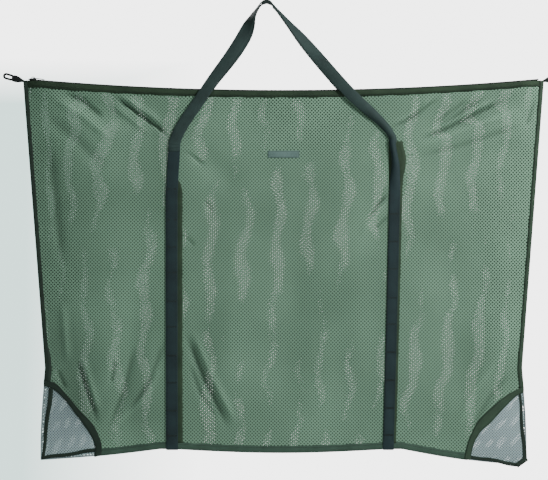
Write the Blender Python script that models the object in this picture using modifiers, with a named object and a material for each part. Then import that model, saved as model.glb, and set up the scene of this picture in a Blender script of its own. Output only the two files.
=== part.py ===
"""A carp sack with a zipped mouth, hung by its two carrying handles.

The origin is the point where the handles hang on their peg. X runs along the mouth, Y from the
front of the sack to its back, and Z up. All sizes are in metres. Most pieces are laid out in the
sack's own frame, whose X starts midway along the mouth and whose Z starts at the mouth's lowest
point.
"""

import math

import bmesh
import bpy
import numpy as np
from mathutils import Matrix, Vector

# Outline of the sack
MOUTH_WIDTH = 1.190
MOUTH_SAG = 0.0265
WAIST_WIDTH = 1.090
WAIST_HEIGHT = 0.185
BASE_WIDTH = 1.112
SACK_HEIGHT = 0.816
LEFT_CORNER_DROP = 0.026
RIGHT_CORNER_DROP = 0.038
MOUTH_DEPTH = 0.028
BELLY_DEPTH = 0.036
BELLY_REACH = 0.20
BOTTOM_REACH = 0.45
SIDE_REACH = 0.16
MOUTH_REACH = 0.045

# Where the sack hangs, from the peg
HANG_HEIGHT = 0.2075
HANG_OFFSET = 0.039

# Cloth, tape and webbing
NET_THICKNESS = 0.0006
TAPE_THICKNESS = 0.0006
SEAM_GAP = 0.0003
SIDE_BINDING_WIDTH = 0.009
BOTTOM_BINDING_WIDTH = 0.012
HEM_WIDTH = 0.012
FOLD_BULGE = 0.0004
WEBBING_WIDTH = 0.029
WEBBING_THICKNESS = 0.0016

# Sewn straps: how far below the mouth each starts and settles, and how far out it is there
LEFT_STRAP_START = 0.096
LEFT_STRAP_START_OUT = 0.2465
LEFT_STRAP_SETTLE = 0.235
LEFT_STRAP_SETTLE_OUT = 0.2542
LEFT_STRAP_END_OUT = 0.2545
LEFT_BACKING_SHOW = 0.0105
RIGHT_STRAP_START = 0.110
RIGHT_STRAP_START_OUT = 0.2540
RIGHT_STRAP_SETTLE = 0.222
RIGHT_STRAP_SETTLE_OUT = 0.2556
RIGHT_STRAP_END_OUT = 0.2420
RIGHT_BACKING_SHOW = 0.0060
BACKING_UNDERLAP = 0.019

# Drainage corners
DRAIN_WIDTH = 0.136
DRAIN_HEIGHT = 0.176
DRAIN_TAPE_WIDTH = 0.0145

# Handles
PEG_RADIUS = 0.008
PEG_FLAT = 0.008
HANDLE_TWIST_END = 0.075
HANDLE_BOW = 0.006
BACK_HANDLE_SHIFT = 0.004
HANDLE_CLEARANCE = 0.0010

# Label
LABEL_WIDTH = 0.072
LABEL_HEIGHT = 0.016
LABEL_DROP = 0.143
LABEL_THICKNESS = 0.0007

# Zip
CHAIN_WIDTH = 0.0058
CHAIN_THICKNESS = 0.0024
SPINE_WIDTH = 0.0010
TOOTH_PITCH = 0.014
ZIP_TAPE_THICKNESS = 0.0008
ZIP_INSET = 0.012
SLIDER_LENGTH = 0.0135
SLIDER_WIDTH = 0.012
SLIDER_PLATE = 0.0010
SLIDER_ROUNDING = 0.0016
SLIDER_WEDGE_LENGTH = 0.0030
SLIDER_WEDGE_WIDTH = 0.0032
BRIDGE_WIRE = 0.0014
BRIDGE_LENGTH = 0.0072
BRIDGE_HEIGHT = 0.0036
PULL_LENGTH = 0.026
PULL_WIDTH = 0.0070
PULL_THICKNESS = 0.0012
PULL_ARM = 0.0012
PULL_PIVOT_HEIGHT = 0.0013
STOP_LENGTH = 0.0025

# Corner loops
LOOP_EYE_LENGTH = 0.0195
LOOP_EYE_HEIGHT = 0.0063
LOOP_CORD = 0.0034
LOOP_TAIL = 0.0215
LOOP_TAIL_HEIGHT = 0.0150
LOOP_TAIL_END = 0.0050
LOOP_TAIL_THICKNESS = 0.0030
LOOP_RISE_DEG = 14.0

# Openings that stand for the net's far finer mesh
OPENING_WIDTH = 0.018
OPENING_HEIGHT = 0.030

# How finely the cloth is divided
ROWS_BETWEEN_HEMS = 16
CELLS_IN_WING = 5
CELLS_IN_MIDDLE = 9
MOUTH_END = 0.014
ARC_STEPS = 24

# Worked out from the sizes above
HEM_HALF = NET_THICKNESS / 2 + SEAM_GAP + TAPE_THICKNESS
SEAM_HALF = HEM_HALF + SEAM_GAP / 2
TAPE_OFFSET = NET_THICKNESS / 2 + SEAM_GAP
STRAP_OFFSET = TAPE_OFFSET + TAPE_THICKNESS + SEAM_GAP
MOUTH_RADIUS = (MOUTH_WIDTH**2 / 4 + MOUTH_SAG**2) / (2 * MOUTH_SAG)
FOLD_TOP = SEAM_GAP + TAPE_THICKNESS + FOLD_BULGE
SLIDER_HALF_HEIGHT = CHAIN_THICKNESS / 2 + SEAM_GAP + SLIDER_PLATE
ZIP_RISE = FOLD_TOP + SEAM_GAP + SLIDER_HALF_HEIGHT
CORNER_DROP = {"left": LEFT_CORNER_DROP, "right": RIGHT_CORNER_DROP}
STRAP_START = {"left": LEFT_STRAP_START, "right": RIGHT_STRAP_START}
BACKING_SHOW = {"left": LEFT_BACKING_SHOW, "right": RIGHT_BACKING_SHOW}
STRAP_ROUTES = {
    "left": (
        (-SACK_HEIGHT, -LEFT_STRAP_END_OUT),
        (-LEFT_STRAP_SETTLE, -LEFT_STRAP_SETTLE_OUT),
        (-LEFT_STRAP_START, -LEFT_STRAP_START_OUT),
    ),
    "right": (
        (-SACK_HEIGHT, RIGHT_STRAP_END_OUT),
        (-RIGHT_STRAP_SETTLE, RIGHT_STRAP_SETTLE_OUT),
        (-RIGHT_STRAP_START, RIGHT_STRAP_START_OUT),
    ),
}

# Main folds, each a ridge or a valley between two points of X and Z, in shares of the height
FRONT_FOLDS = (
    ((0.686, -0.012), (0.349, -0.129), 0.032, -0.0061),
    ((0.699, -0.074), (0.355, -0.184), 0.032, 0.0055),
    ((0.692, -0.135), (0.368, -0.263), 0.037, -0.0049),
    ((-0.637, 0.000), (-0.337, -0.120), 0.029, -0.0074),
    ((-0.257, -0.147), (-0.123, -0.282), 0.032, -0.0049),
    ((-0.466, -0.686), (-0.576, -0.944), 0.042, 0.0061),
    ((-0.392, -0.515), (-0.466, -0.931), 0.042, -0.0049),
    ((-0.135, -0.221), (-0.172, -0.931), 0.049, 0.0043),
    ((0.037, -0.319), (0.012, -0.956), 0.054, -0.0049),
    ((0.184, -0.196), (0.208, -0.858), 0.049, 0.0043),
    ((0.453, -0.404), (0.515, -0.919), 0.047, -0.0049),
)
BACK_FOLDS = (
    ((-0.686, -0.012), (-0.355, -0.147), 0.034, -0.0061),
    ((-0.692, -0.110), (-0.362, -0.245), 0.037, 0.0049),
    ((0.662, 0.000), (0.355, -0.135), 0.032, -0.0067),
    ((0.441, -0.466), (0.502, -0.931), 0.044, 0.0055),
    ((-0.441, -0.515), (-0.515, -0.931), 0.044, -0.0049),
    ((-0.110, -0.245), (-0.074, -0.907), 0.054, -0.0049),
    ((0.098, -0.196), (0.135, -0.931), 0.051, 0.0049),
)

FRONT = -1
BACK = 1
SIDE_NAMES = {FRONT: "front", BACK: "back"}

FINISHES = {
    "green_net": ((0.135, 0.235, 0.165, 1.0), 0.85, 0.0),
    "grey_net": ((0.235, 0.300, 0.310, 1.0), 0.80, 0.0),
    "olive_tape": ((0.035, 0.062, 0.038, 1.0), 0.80, 0.0),
    "dark_webbing": ((0.022, 0.036, 0.040, 1.0), 0.65, 0.0),
    "zip_fabric": ((0.012, 0.014, 0.014, 1.0), 0.75, 0.0),
    "zip_teeth": ((0.008, 0.009, 0.009, 1.0), 0.40, 0.0),
    "zip_metal": ((0.060, 0.065, 0.065, 1.0), 0.35, 1.0),
    "label": ((0.105, 0.160, 0.165, 1.0), 0.75, 0.0),
}


def clear_scene():
    for obj in list(bpy.data.objects):
        bpy.data.objects.remove(obj, do_unlink=True)


def new_collection(name):
    collection = bpy.data.collections.new(name)
    bpy.context.scene.collection.children.link(collection)
    return collection


clear_scene()
PARTS = new_collection("carp_sack")
CUTTERS = new_collection("cutters")
CUTTERS.hide_render = True

SACK_FRAME = bpy.data.objects.new("sack_frame", None)
SACK_FRAME.location = (HANG_OFFSET, 0.0, -HANG_HEIGHT)
PARTS.objects.link(SACK_FRAME)


def finish(name):
    material = bpy.data.materials.get(name)
    if material is None:
        colour, roughness, metallic = FINISHES[name]
        material = bpy.data.materials.new(name)
        material.use_nodes = True
        shader = material.node_tree.nodes["Principled BSDF"]
        shader.inputs["Base Color"].default_value = colour
        shader.inputs["Roughness"].default_value = roughness
        shader.inputs["Metallic"].default_value = metallic
        material.diffuse_color = colour
    return material


def add_part(name, mesh, finish_name):
    obj = bpy.data.objects.new(name, mesh)
    mesh.materials.clear()
    mesh.materials.append(finish(finish_name))
    PARTS.objects.link(obj)
    obj.parent = SACK_FRAME
    return obj


def add_cutter(name, mesh):
    obj = bpy.data.objects.new(name, mesh)
    CUTTERS.objects.link(obj)
    obj.hide_render = True
    obj.display_type = "WIRE"
    obj.parent = SACK_FRAME
    return obj


def mesh_from(bm, name):
    bmesh.ops.recalc_face_normals(bm, faces=bm.faces)
    mesh = bpy.data.meshes.new(name)
    bm.to_mesh(mesh)
    bm.free()
    return mesh


def solidify(obj, thickness):
    wall = obj.modifiers.new("thickness", "SOLIDIFY")
    wall.thickness = thickness
    wall.offset = 0.0
    wall.use_even_offset = True


def combine(obj, other, operation):
    change = obj.modifiers.new(operation.lower(), "BOOLEAN")
    change.operation = operation
    change.solver = "EXACT"
    change.object = other


def move_origin(obj, point):
    """Puts the object's origin on a point of its parent's frame, and leaves its shape in place."""
    obj.data.transform(Matrix.Translation(-Vector(point)))
    obj.location = point


def mesh_of_curve(curve):
    """A closed mesh of a curve object, which is then removed."""
    bpy.context.view_layer.update()
    graph = bpy.context.evaluated_depsgraph_get()
    mesh = bpy.data.meshes.new_from_object(curve.evaluated_get(graph))
    mesh.transform(curve.matrix_world)
    bpy.data.objects.remove(curve, do_unlink=True)
    bm = bmesh.new()
    bm.from_mesh(mesh)
    bmesh.ops.remove_doubles(bm, verts=bm.verts, dist=0.00001)
    bmesh.ops.recalc_face_normals(bm, faces=bm.faces)
    bm.to_mesh(mesh)
    bm.free()
    return mesh


def outline_mesh(name, points, thickness):
    """A flat outline in X and Y, filled and made this thick about Z."""
    data = bpy.data.curves.new(name, "CURVE")
    data.dimensions = "2D"
    data.fill_mode = "BOTH"
    data.extrude = thickness / 2
    spline = data.splines.new("POLY")
    spline.points.add(len(points) - 1)
    for point, place in zip(spline.points, points):
        point.co = (place[0], place[1], 0.0, 1.0)
    spline.use_cyclic_u = True
    curve = bpy.data.objects.new(name, data)
    bpy.context.scene.collection.objects.link(curve)
    return mesh_of_curve(curve)


def tube_mesh(name, points, diameter, cyclic):
    data = bpy.data.curves.new(name, "CURVE")
    data.dimensions = "3D"
    data.bevel_depth = diameter / 2
    data.bevel_resolution = 1
    data.use_fill_caps = True
    spline = data.splines.new("POLY")
    spline.points.add(len(points) - 1)
    for point, place in zip(spline.points, points):
        point.co = (*place, 1.0)
    spline.use_cyclic_u = cyclic
    curve = bpy.data.objects.new(name, data)
    bpy.context.scene.collection.objects.link(curve)
    return mesh_of_curve(curve)


def box_mesh(name, low, high):
    bm = bmesh.new()
    bmesh.ops.create_cube(bm, size=1.0)
    low = Vector(low)
    high = Vector(high)
    size = high - low
    bmesh.ops.scale(bm, vec=size, verts=bm.verts)
    bmesh.ops.translate(bm, vec=(low + high) / 2, verts=bm.verts)
    return mesh_from(bm, name)


def ease(share):
    """Rises from 0 to 1, quickly at first."""
    share = min(max(share, 0.0), 1.0)
    return 1.0 - (1.0 - share) ** 2


def half_width(z):
    waist_z = WAIST_HEIGHT - SACK_HEIGHT
    if z >= waist_z:
        share = (z - waist_z) / (MOUTH_SAG - waist_z)
        return (WAIST_WIDTH + (MOUTH_WIDTH - WAIST_WIDTH) * share) / 2
    share = min((waist_z - z) / WAIST_HEIGHT, 1.0)
    return (WAIST_WIDTH + (BASE_WIDTH - WAIST_WIDTH) * math.sin(share * math.pi / 2)) / 2


def mouth_z(x):
    return MOUTH_RADIUS - math.sqrt(MOUTH_RADIUS**2 - x**2)


def strap_x(side, z):
    heights, places = zip(*STRAP_ROUTES[side])
    return float(np.interp(z, heights, places))


def bottom_z(x):
    side = "left" if x < 0 else "right"
    inner = abs(strap_x(side, -SACK_HEIGHT)) + WEBBING_WIDTH
    share = max(abs(x) - inner, 0.0) / (BASE_WIDTH / 2 - inner)
    return -SACK_HEIGHT - CORNER_DROP[side] * share


def strap_band(side, z):
    """The sack's X at the strap's left edge, its right edge, and the backing tape's right edge."""
    middle = strap_x(side, z)
    right = middle + WEBBING_WIDTH / 2
    return middle - WEBBING_WIDTH / 2, right, right + BACKING_SHOW[side]


def column_places(z):
    """The sack's X of every column of the cloth's grid at this height."""
    edge = half_width(z)
    inside = edge - SIDE_BINDING_WIDTH - SEAM_GAP
    left = strap_band("left", z)
    right = strap_band("right", z)
    places = [-edge, -inside]
    places += list(np.linspace(-inside + MOUTH_END, left[0], CELLS_IN_WING + 1))
    places += [left[1]]
    places += list(np.linspace(left[2], right[0], CELLS_IN_MIDDLE + 1))
    places += [right[1]]
    places += list(np.linspace(right[2], inside - MOUTH_END, CELLS_IN_WING + 1))
    places += [inside, edge]
    return places


LEFT_STRAP_COLUMN = 2 + CELLS_IN_WING
RIGHT_STRAP_COLUMN = LEFT_STRAP_COLUMN + 2 + CELLS_IN_MIDDLE
STRAP_COLUMN = {"left": LEFT_STRAP_COLUMN, "right": RIGHT_STRAP_COLUMN}
COLUMNS = RIGHT_STRAP_COLUMN + 2 + CELLS_IN_WING + 3
ROWS = ROWS_BETWEEN_HEMS + 3


def belly(x, z):
    """Half the sack's depth, without its folds."""
    room = half_width(z) - abs(x) - SIDE_BINDING_WIDTH - SEAM_GAP
    down = mouth_z(x) - z - HEM_WIDTH
    up = z - bottom_z(x) - BOTTOM_BINDING_WIDTH
    full = MOUTH_DEPTH + (BELLY_DEPTH - MOUTH_DEPTH) * ease(down / BELLY_REACH)
    full = SEAM_HALF + (full / 2 - SEAM_HALF) * ease(up / BOTTOM_REACH)
    reach = MOUTH_REACH + (SIDE_REACH - MOUTH_REACH) * ease(down / BELLY_REACH)
    return SEAM_HALF + (full - SEAM_HALF) * ease(room / reach)


def fold_height(x, z, folds):
    total = 0.0
    place = Vector((x, z)) / SACK_HEIGHT
    for start, end, width, height in folds:
        along = Vector(end) - Vector(start)
        away = place - Vector(start)
        share = away.dot(along) / along.length_squared
        if 0.0 < share < 1.0:
            across = (away - share * along).length
            fade = min(1.0, 6.0 * share, 6.0 * (1.0 - share))
            total += height * fade * math.exp(-((across / width) ** 2))
    return total * SACK_HEIGHT


def calm(x, z):
    """How freely the cloth folds here: nothing at its hems, bindings and straps."""
    room = half_width(z) - abs(x) - SIDE_BINDING_WIDTH - SEAM_GAP
    down = mouth_z(x) - z - HEM_WIDTH
    up = z - bottom_z(x) - BOTTOM_BINDING_WIDTH
    share = min(room / 0.05, down / 0.03, up / 0.08)
    for side in ("left", "right"):
        left, _, right = strap_band(side, z)
        share = min(share, max(left - x, x - right) / 0.03)
    return ease(share)


def sheet_depth(x, z, folds):
    for side in ("left", "right"):
        left, _, right = strap_band(side, z)
        if left - SEAM_GAP <= x <= right + SEAM_GAP:
            x = strap_x(side, z)
    return belly(x, z) + calm(x, z) * fold_height(x, z, folds)


def sheet_grid(folds):
    """The cloth's mid surface as rows of (x, half depth, z), from the mouth down."""
    rows = []
    shares = np.linspace(0.0, 1.0, ROWS_BETWEEN_HEMS + 1)
    for row in range(ROWS):
        points = []
        inner_row = min(max(row, 1), ROWS - 2)
        for column in range(COLUMNS):
            x = 0.0
            z = -SACK_HEIGHT * shares[inner_row - 1]
            for _ in range(6):
                x = column_places(z)[column]
                top = mouth_z(x) - HEM_WIDTH - SEAM_GAP
                low = bottom_z(x) + BOTTOM_BINDING_WIDTH + SEAM_GAP
                z = top + (low - top) * shares[inner_row - 1]
            depth = sheet_depth(x, z, folds)
            if row == 0:
                z = mouth_z(x)
            elif row == ROWS - 1:
                z = bottom_z(x)
            if column in (0, COLUMNS - 1):
                x = math.copysign(half_width(z), x)
            points.append((x, depth, z))
        rows.append(points)
    return rows


GRIDS = {FRONT: sheet_grid(FRONT_FOLDS), BACK: sheet_grid(BACK_FOLDS)}


def grid_surface(points):
    """A bmesh grid whose vertices take these rows of points."""
    bm = bmesh.new()
    bmesh.ops.create_grid(bm, x_segments=len(points[0]) - 1, y_segments=len(points) - 1, size=1.0)
    places = sorted(bm.verts, key=lambda vert: (round(vert.co.y, 6), round(vert.co.x, 6)))
    for index, (vert, place) in enumerate(zip(places, (p for row in points for p in row))):
        vert.co = place
        vert.index = index
    return bm


def cut_openings(bm, columns, openings):
    """Cuts a hole in the middle of these cells of a grid, given by row and column."""
    cells = [
        face
        for face in bm.faces
        if divmod(min(vert.index for vert in face.verts), columns) in openings
    ]
    bm.normal_update()
    bmesh.ops.inset_individual(bm, faces=cells, thickness=SEAM_GAP)
    for cell in cells:
        centre = cell.calc_center_median()
        corners = [vert.co - centre for vert in cell.verts]
        across = OPENING_WIDTH / 2 / max(corner.x for corner in corners)
        up = OPENING_HEIGHT / 2 / max(corner.z for corner in corners)
        slope = -cell.normal / cell.normal.y
        for vert, corner in zip(cell.verts, corners):
            x = corner.x * across
            z = corner.z * up
            vert.co = centre + Vector((x, slope.x * x + slope.z * z, z))
    bmesh.ops.delete(bm, geom=cells, context="FACES_ONLY")


def cloth_layer(name, side, rows, columns, offset, thickness, openings=()):
    """A layer of the cloth, this far outside its mid surface and this thick."""
    grid = GRIDS[side]
    points = [
        [(grid[r][c][0], side * (grid[r][c][1] + offset), grid[r][c][2]) for c in columns]
        for r in rows
    ]
    bm = grid_surface(points)
    cut_openings(bm, len(columns), openings)
    bmesh.ops.triangulate(bm, faces=bm.faces[:], quad_method="FIXED")
    grown = bmesh.ops.extrude_face_region(bm, geom=bm.faces[:])
    moved = [item for item in grown["geom"] if isinstance(item, bmesh.types.BMVert)]
    bmesh.ops.translate(bm, vec=(0.0, side * thickness, 0.0), verts=moved)
    return mesh_from(bm, name)


def net_openings():
    """The cells of the cloth's grid that are open: every other one, clear of the drain corners."""
    columns = list(range(2, LEFT_STRAP_COLUMN, 2))
    columns += range(LEFT_STRAP_COLUMN + 2, RIGHT_STRAP_COLUMN, 2)
    columns += range(RIGHT_STRAP_COLUMN + 2, COLUMNS - 3, 2)
    openings = set()
    for row in range(2, ROWS - 3, 2):
        for column in columns:
            corners = [GRIDS[FRONT][row + down][column + over] for down in (0, 1) for over in (0, 1)]
            nearest = max(abs(x) for x, _, _ in corners)
            lowest = min(z for _, _, z in corners)
            across = (BASE_WIDTH / 2 - nearest) / DRAIN_WIDTH
            up = (lowest - bottom_z(nearest)) / DRAIN_HEIGHT
            if math.hypot(max(across, 0.0), up) > 1.0:
                openings.add((row, column))
    return openings


def ellipse_cutter(name, side, inset):
    """A post along Y whose section is the drain corner's ellipse, drawn in by inset."""
    sign = -1 if side == "left" else 1
    bm = bmesh.new()
    bmesh.ops.create_cone(
        bm, cap_ends=True, segments=64, radius1=1.0, radius2=1.0, depth=BELLY_DEPTH * 2
    )
    bmesh.ops.rotate(bm, matrix=Matrix.Rotation(math.pi / 2, 3, "X"), verts=bm.verts)
    size = (DRAIN_WIDTH - inset, 1.0, DRAIN_HEIGHT - inset)
    bmesh.ops.scale(bm, vec=size, verts=bm.verts)
    corner = sign * BASE_WIDTH / 2
    bmesh.ops.translate(bm, vec=(corner, 0.0, bottom_z(corner)), verts=bm.verts)
    return add_cutter(name, mesh_from(bm, name))


def make_nets():
    everywhere = range(ROWS), range(COLUMNS)
    seam = DRAIN_TAPE_WIDTH / 2
    cutters = {}
    for corner in ("left", "right"):
        cutters[corner] = {
            "panel": ellipse_cutter(f"{corner}_panel_cut", corner, seam - SEAM_GAP / 2),
            "drain": ellipse_cutter(f"{corner}_drain_cut", corner, seam + SEAM_GAP / 2),
            "outer": ellipse_cutter(f"{corner}_tape_outer", corner, 0.0),
            "inner": ellipse_cutter(f"{corner}_tape_inner", corner, DRAIN_TAPE_WIDTH),
        }
    lower = range(ROWS // 2, ROWS)
    wings = {
        "left": range(LEFT_STRAP_COLUMN),
        "right": range(RIGHT_STRAP_COLUMN + 3, COLUMNS),
    }
    for side, side_name in SIDE_NAMES.items():
        name = f"{side_name}_net"
        mesh = cloth_layer(
            name, side, *everywhere, -NET_THICKNESS / 2, NET_THICKNESS, net_openings()
        )
        panel = add_part(name, mesh, "green_net")
        for corner in ("left", "right"):
            combine(panel, cutters[corner]["panel"], "DIFFERENCE")
            name = f"{side_name}_{corner}_drain_net"
            mesh = cloth_layer(
                name, side, lower, wings[corner], -NET_THICKNESS / 2, NET_THICKNESS
            )
            drain = add_part(name, mesh, "grey_net")
            combine(drain, cutters[corner]["drain"], "INTERSECT")
            name = f"{side_name}_{corner}_drain_tape"
            inside = [c for c in wings[corner] if 0 < c < COLUMNS - 1]
            mesh = cloth_layer(
                name, side, lower[:-1], inside, TAPE_OFFSET, TAPE_THICKNESS
            )
            tape = add_part(name, mesh, "olive_tape")
            combine(tape, cutters[corner]["outer"], "INTERSECT")
            combine(tape, cutters[corner]["inner"], "DIFFERENCE")


def folded_tape(name, edges, inward, reach, slot_half):
    """A tape folded round an edge. The edges are points on it, and inward is where its sides run."""
    half = slot_half + TAPE_THICKNESS / 2
    out = SEAM_GAP + TAPE_THICKNESS / 2 + FOLD_BULGE
    section = (
        (reach, -half),
        (0.0, -half),
        (-out, -half / 2),
        (-out, half / 2),
        (0.0, half),
        (reach, half),
    )
    inward = Vector(inward)
    points = [
        [Vector(edge) + inward * run + Vector((0.0, across, 0.0)) for run, across in section]
        for edge in edges
    ]
    mesh = mesh_from(grid_surface(points), name)
    tape = add_part(name, mesh, "olive_tape")
    solidify(tape, TAPE_THICKNESS)
    return tape


def mouth_halves(edges):
    """The mouth's edge as two lengths of tape, which meet at its middle."""
    places, depths, heights = zip(*edges)
    halves = {}
    for name, sign in (("left", -1), ("right", 1)):
        end = sign * SEAM_GAP / 2
        middle = (end, float(np.interp(end, places, depths)), float(np.interp(end, places, heights)))
        kept = [edge for edge in edges if sign * edge[0] > SEAM_GAP]
        halves[name] = kept + [middle] if sign < 0 else [middle] + kept
    return halves


def make_bindings_and_hems():
    double = SEAM_HALF + TAPE_OFFSET
    grid = GRIDS[FRONT]
    for name, column, inward in (("left", 0, 1.0), ("right", COLUMNS - 1, -1.0)):
        edges = [(row[column][0], 0.0, row[column][2]) for row in grid]
        folded_tape(
            f"{name}_side_binding", edges, (inward, 0.0, 0.0), SIDE_BINDING_WIDTH, double
        )
    inside = range(1, COLUMNS - 1)
    edges = [(grid[-1][c][0], 0.0, grid[-1][c][2]) for c in inside]
    folded_tape("bottom_binding", edges, (0.0, 0.0, 1.0), BOTTOM_BINDING_WIDTH, double)
    for side, side_name in SIDE_NAMES.items():
        row = GRIDS[side][0]
        edges = [(row[c][0], side * row[c][1], row[c][2]) for c in inside]
        for part, half in mouth_halves(edges).items():
            name = f"{side_name}_{part}_mouth_hem"
            folded_tape(name, half, (0.0, 0.0, -1.0), HEM_WIDTH, TAPE_OFFSET)


def strap_stations(strap, side, z_top):
    """(x, half depth, z) down the middle of a strap, from its start to the bottom edge."""
    column = STRAP_COLUMN[strap]
    grid = GRIDS[side]
    heights = [row[column][2] for row in grid]
    depths = [row[column][1] for row in grid]
    top_depth = float(np.interp(z_top, heights[::-1], depths[::-1]))
    stations = [(strap_x(strap, z_top), top_depth, z_top)]
    for height, depth in zip(heights, depths):
        if height < z_top - SEAM_GAP:
            stations.append((strap_x(strap, height), depth, height))
    return stations


def make_straps():
    middle = STRAP_OFFSET + WEBBING_THICKNESS / 2
    for strap in ("left", "right"):
        start = -STRAP_START[strap]
        path = [
            (x, -depth - middle, z) for x, depth, z in strap_stations(strap, FRONT, start)
        ]
        x, depth, z = path[-1]
        turn = SEAM_HALF + middle
        centre = z + TAPE_THICKNESS + SEAM_GAP
        path[-1] = (x, -turn, centre)
        for step in range(1, 8):
            angle = math.pi * step / 8
            path.append((x, -turn * math.cos(angle), centre - turn * math.sin(angle)))
        rising = [
            (x, depth + middle, z) for x, depth, z in strap_stations(strap, BACK, start)
        ]
        rising[-1] = (x, turn, centre)
        path += rising[::-1]
        half = WEBBING_WIDTH / 2
        points = [[(x - half, y, z), (x + half, y, z)] for x, y, z in path]
        name = f"{strap}_strap"
        obj = add_part(name, mesh_from(grid_surface(points), name), "dark_webbing")
        solidify(obj, WEBBING_THICKNESS)
        for side, side_name in SIDE_NAMES.items():
            make_backing(strap, side, side_name, start)


def make_backing(strap, side, side_name, start):
    stations = strap_stations(strap, side, start)[:-1]
    right = WEBBING_WIDTH / 2 + BACKING_SHOW[strap]
    left = right - BACKING_UNDERLAP
    points = [
        [
            (x + across, side * (depth + TAPE_OFFSET + TAPE_THICKNESS / 2), z)
            for across in (left, right)
        ]
        for x, depth, z in stations
    ]
    name = f"{side_name}_{strap}_strap_backing"
    obj = add_part(name, mesh_from(grid_surface(points), name), "olive_tape")
    solidify(obj, TAPE_THICKNESS)


def make_label():
    name = "label"
    rows = range(1, ROWS // 2)
    columns = range(LEFT_STRAP_COLUMN + 2, RIGHT_STRAP_COLUMN)
    mesh = cloth_layer(name, FRONT, rows, columns, TAPE_OFFSET, LABEL_THICKNESS)
    label = add_part(name, mesh, "label")
    low = (-LABEL_WIDTH / 2, -BELLY_DEPTH, -LABEL_DROP - LABEL_HEIGHT / 2)
    high = (LABEL_WIDTH / 2, 0.0, -LABEL_DROP + LABEL_HEIGHT / 2)
    window = add_cutter("label_window", box_mesh("label_window", low, high))
    combine(label, window, "INTERSECT")


def webbing_profile():
    """The section of the handle's webbing, flat with slightly rounded edges."""
    data = bpy.data.curves.new("webbing_section", "CURVE")
    data.dimensions = "2D"
    spline = data.splines.new("POLY")
    half = WEBBING_WIDTH / 2
    thick = WEBBING_THICKNESS / 2
    corners = (
        (half, 0.0),
        (half - thick, thick),
        (thick - half, thick),
        (-half, 0.0),
        (thick - half, -thick),
        (half - thick, -thick),
    )
    spline.points.add(len(corners) - 1)
    for point, place in zip(spline.points, corners):
        point.co = (*place, 0.0, 1.0)
    spline.use_cyclic_u = True
    section = bpy.data.objects.new("webbing_section", data)
    CUTTERS.objects.link(section)
    section.hide_render = True
    return section


def strap_face(strap, side):
    """The half depth at which a strap's outer face starts, where its handle leaves the cloth."""
    depth = strap_stations(strap, side, -STRAP_START[strap])[0][1]
    return depth + STRAP_OFFSET + WEBBING_THICKNESS


def handle_foot(strap, side):
    """Where a handle's middle line starts, on the outside of its strap's top end."""
    start = -STRAP_START[strap]
    depth = strap_face(strap, side) + 2 * SEAM_GAP + WEBBING_THICKNESS / 2
    return Vector((strap_x(strap, start), side * depth, start))


def hinge_points(side):
    """The two points of a handle's hinge line, on its outer face at the lowest corner."""
    points = []
    for strap, sign in (("left", -1), ("right", 1)):
        foot = handle_foot(strap, side)
        run = Vector((sign * (PEG_FLAT / 2 + PEG_RADIUS) - HANG_OFFSET - foot.x, 0.0, HANG_HEIGHT))
        run.z -= foot.z
        drop = WEBBING_WIDTH / 2 * abs(run.x) / run.length
        points.append(foot + Vector((0.0, side * WEBBING_THICKNESS / 2, -drop)))
    return points


def handle_route(side):
    """Points of a handle's middle line with the share of its twist, from left to right."""
    peg = Vector((-HANG_OFFSET, 0.0, HANG_HEIGHT + WEBBING_THICKNESS / 2))
    peg_depth = side * (WEBBING_WIDTH / 2 + HANDLE_CLEARANCE)
    shift = BACK_HANDLE_SHIFT if side == BACK else 0.0
    route = []
    for strap, sign in (("left", -1), ("right", 1)):
        foot = handle_foot(strap, side)
        shoulder = peg + Vector((sign * (PEG_FLAT / 2 + PEG_RADIUS), 0.0, -PEG_RADIUS))
        shoulder.y = peg_depth
        crossing = foot.lerp(shoulder, 0.36)
        crossing.y = side * (MOUTH_DEPTH / 2 + HEM_HALF + HANDLE_CLEARANCE + WEBBING_THICKNESS / 2)
        crossing.y = side * max(abs(crossing.y), abs(foot.lerp(shoulder, 0.36).y))
        crossing.x += sign * (HANDLE_BOW + shift)
        down = (foot - shoulder).normalized()
        twisted = shoulder + down * HANDLE_TWIST_END
        rim = peg + Vector((sign * PEG_FLAT / 2, peg_depth, 0.0))
        leg = [(foot, 1.0), (crossing, 1.0), (twisted, 1.0), (shoulder, 0.25), (rim, 0.0)]
        route += leg if strap == "left" else leg[::-1]
    return route


def make_handles():
    section = webbing_profile()
    for side, side_name in SIDE_NAMES.items():
        name = f"{side_name}_handle"
        data = bpy.data.curves.new(name, "CURVE")
        data.dimensions = "3D"
        data.twist_mode = "Z_UP"
        data.resolution_u = 7
        data.bevel_mode = "OBJECT"
        data.bevel_object = section
        data.use_fill_caps = True
        route = handle_route(side)
        spline = data.splines.new("BEZIER")
        spline.bezier_points.add(len(route) - 1)
        for index, (point, (place, twist)) in enumerate(zip(spline.bezier_points, route)):
            point.co = place
            point.handle_left_type = "AUTO"
            point.handle_right_type = "AUTO"
            sign = 1 if index < len(route) / 2 else -1
            point.tilt = math.pi / 2 * twist * sign
        spline.tilt_interpolation = "EASE"
        curve = bpy.data.objects.new(name + "_curve", data)
        bpy.context.scene.collection.objects.link(curve)
        handle = add_part(name, mesh_of_curve(curve), "dark_webbing")
        left, _ = hinge_points(side)
        move_origin(handle, left)


def mouth_half(x):
    """Half the distance between the two hems' middles at this X."""
    row = GRIDS[FRONT][0]
    return float(np.interp(x, [point[0] for point in row], [point[1] for point in row]))


def zip_plane(x):
    return mouth_z(x) + ZIP_RISE


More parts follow.
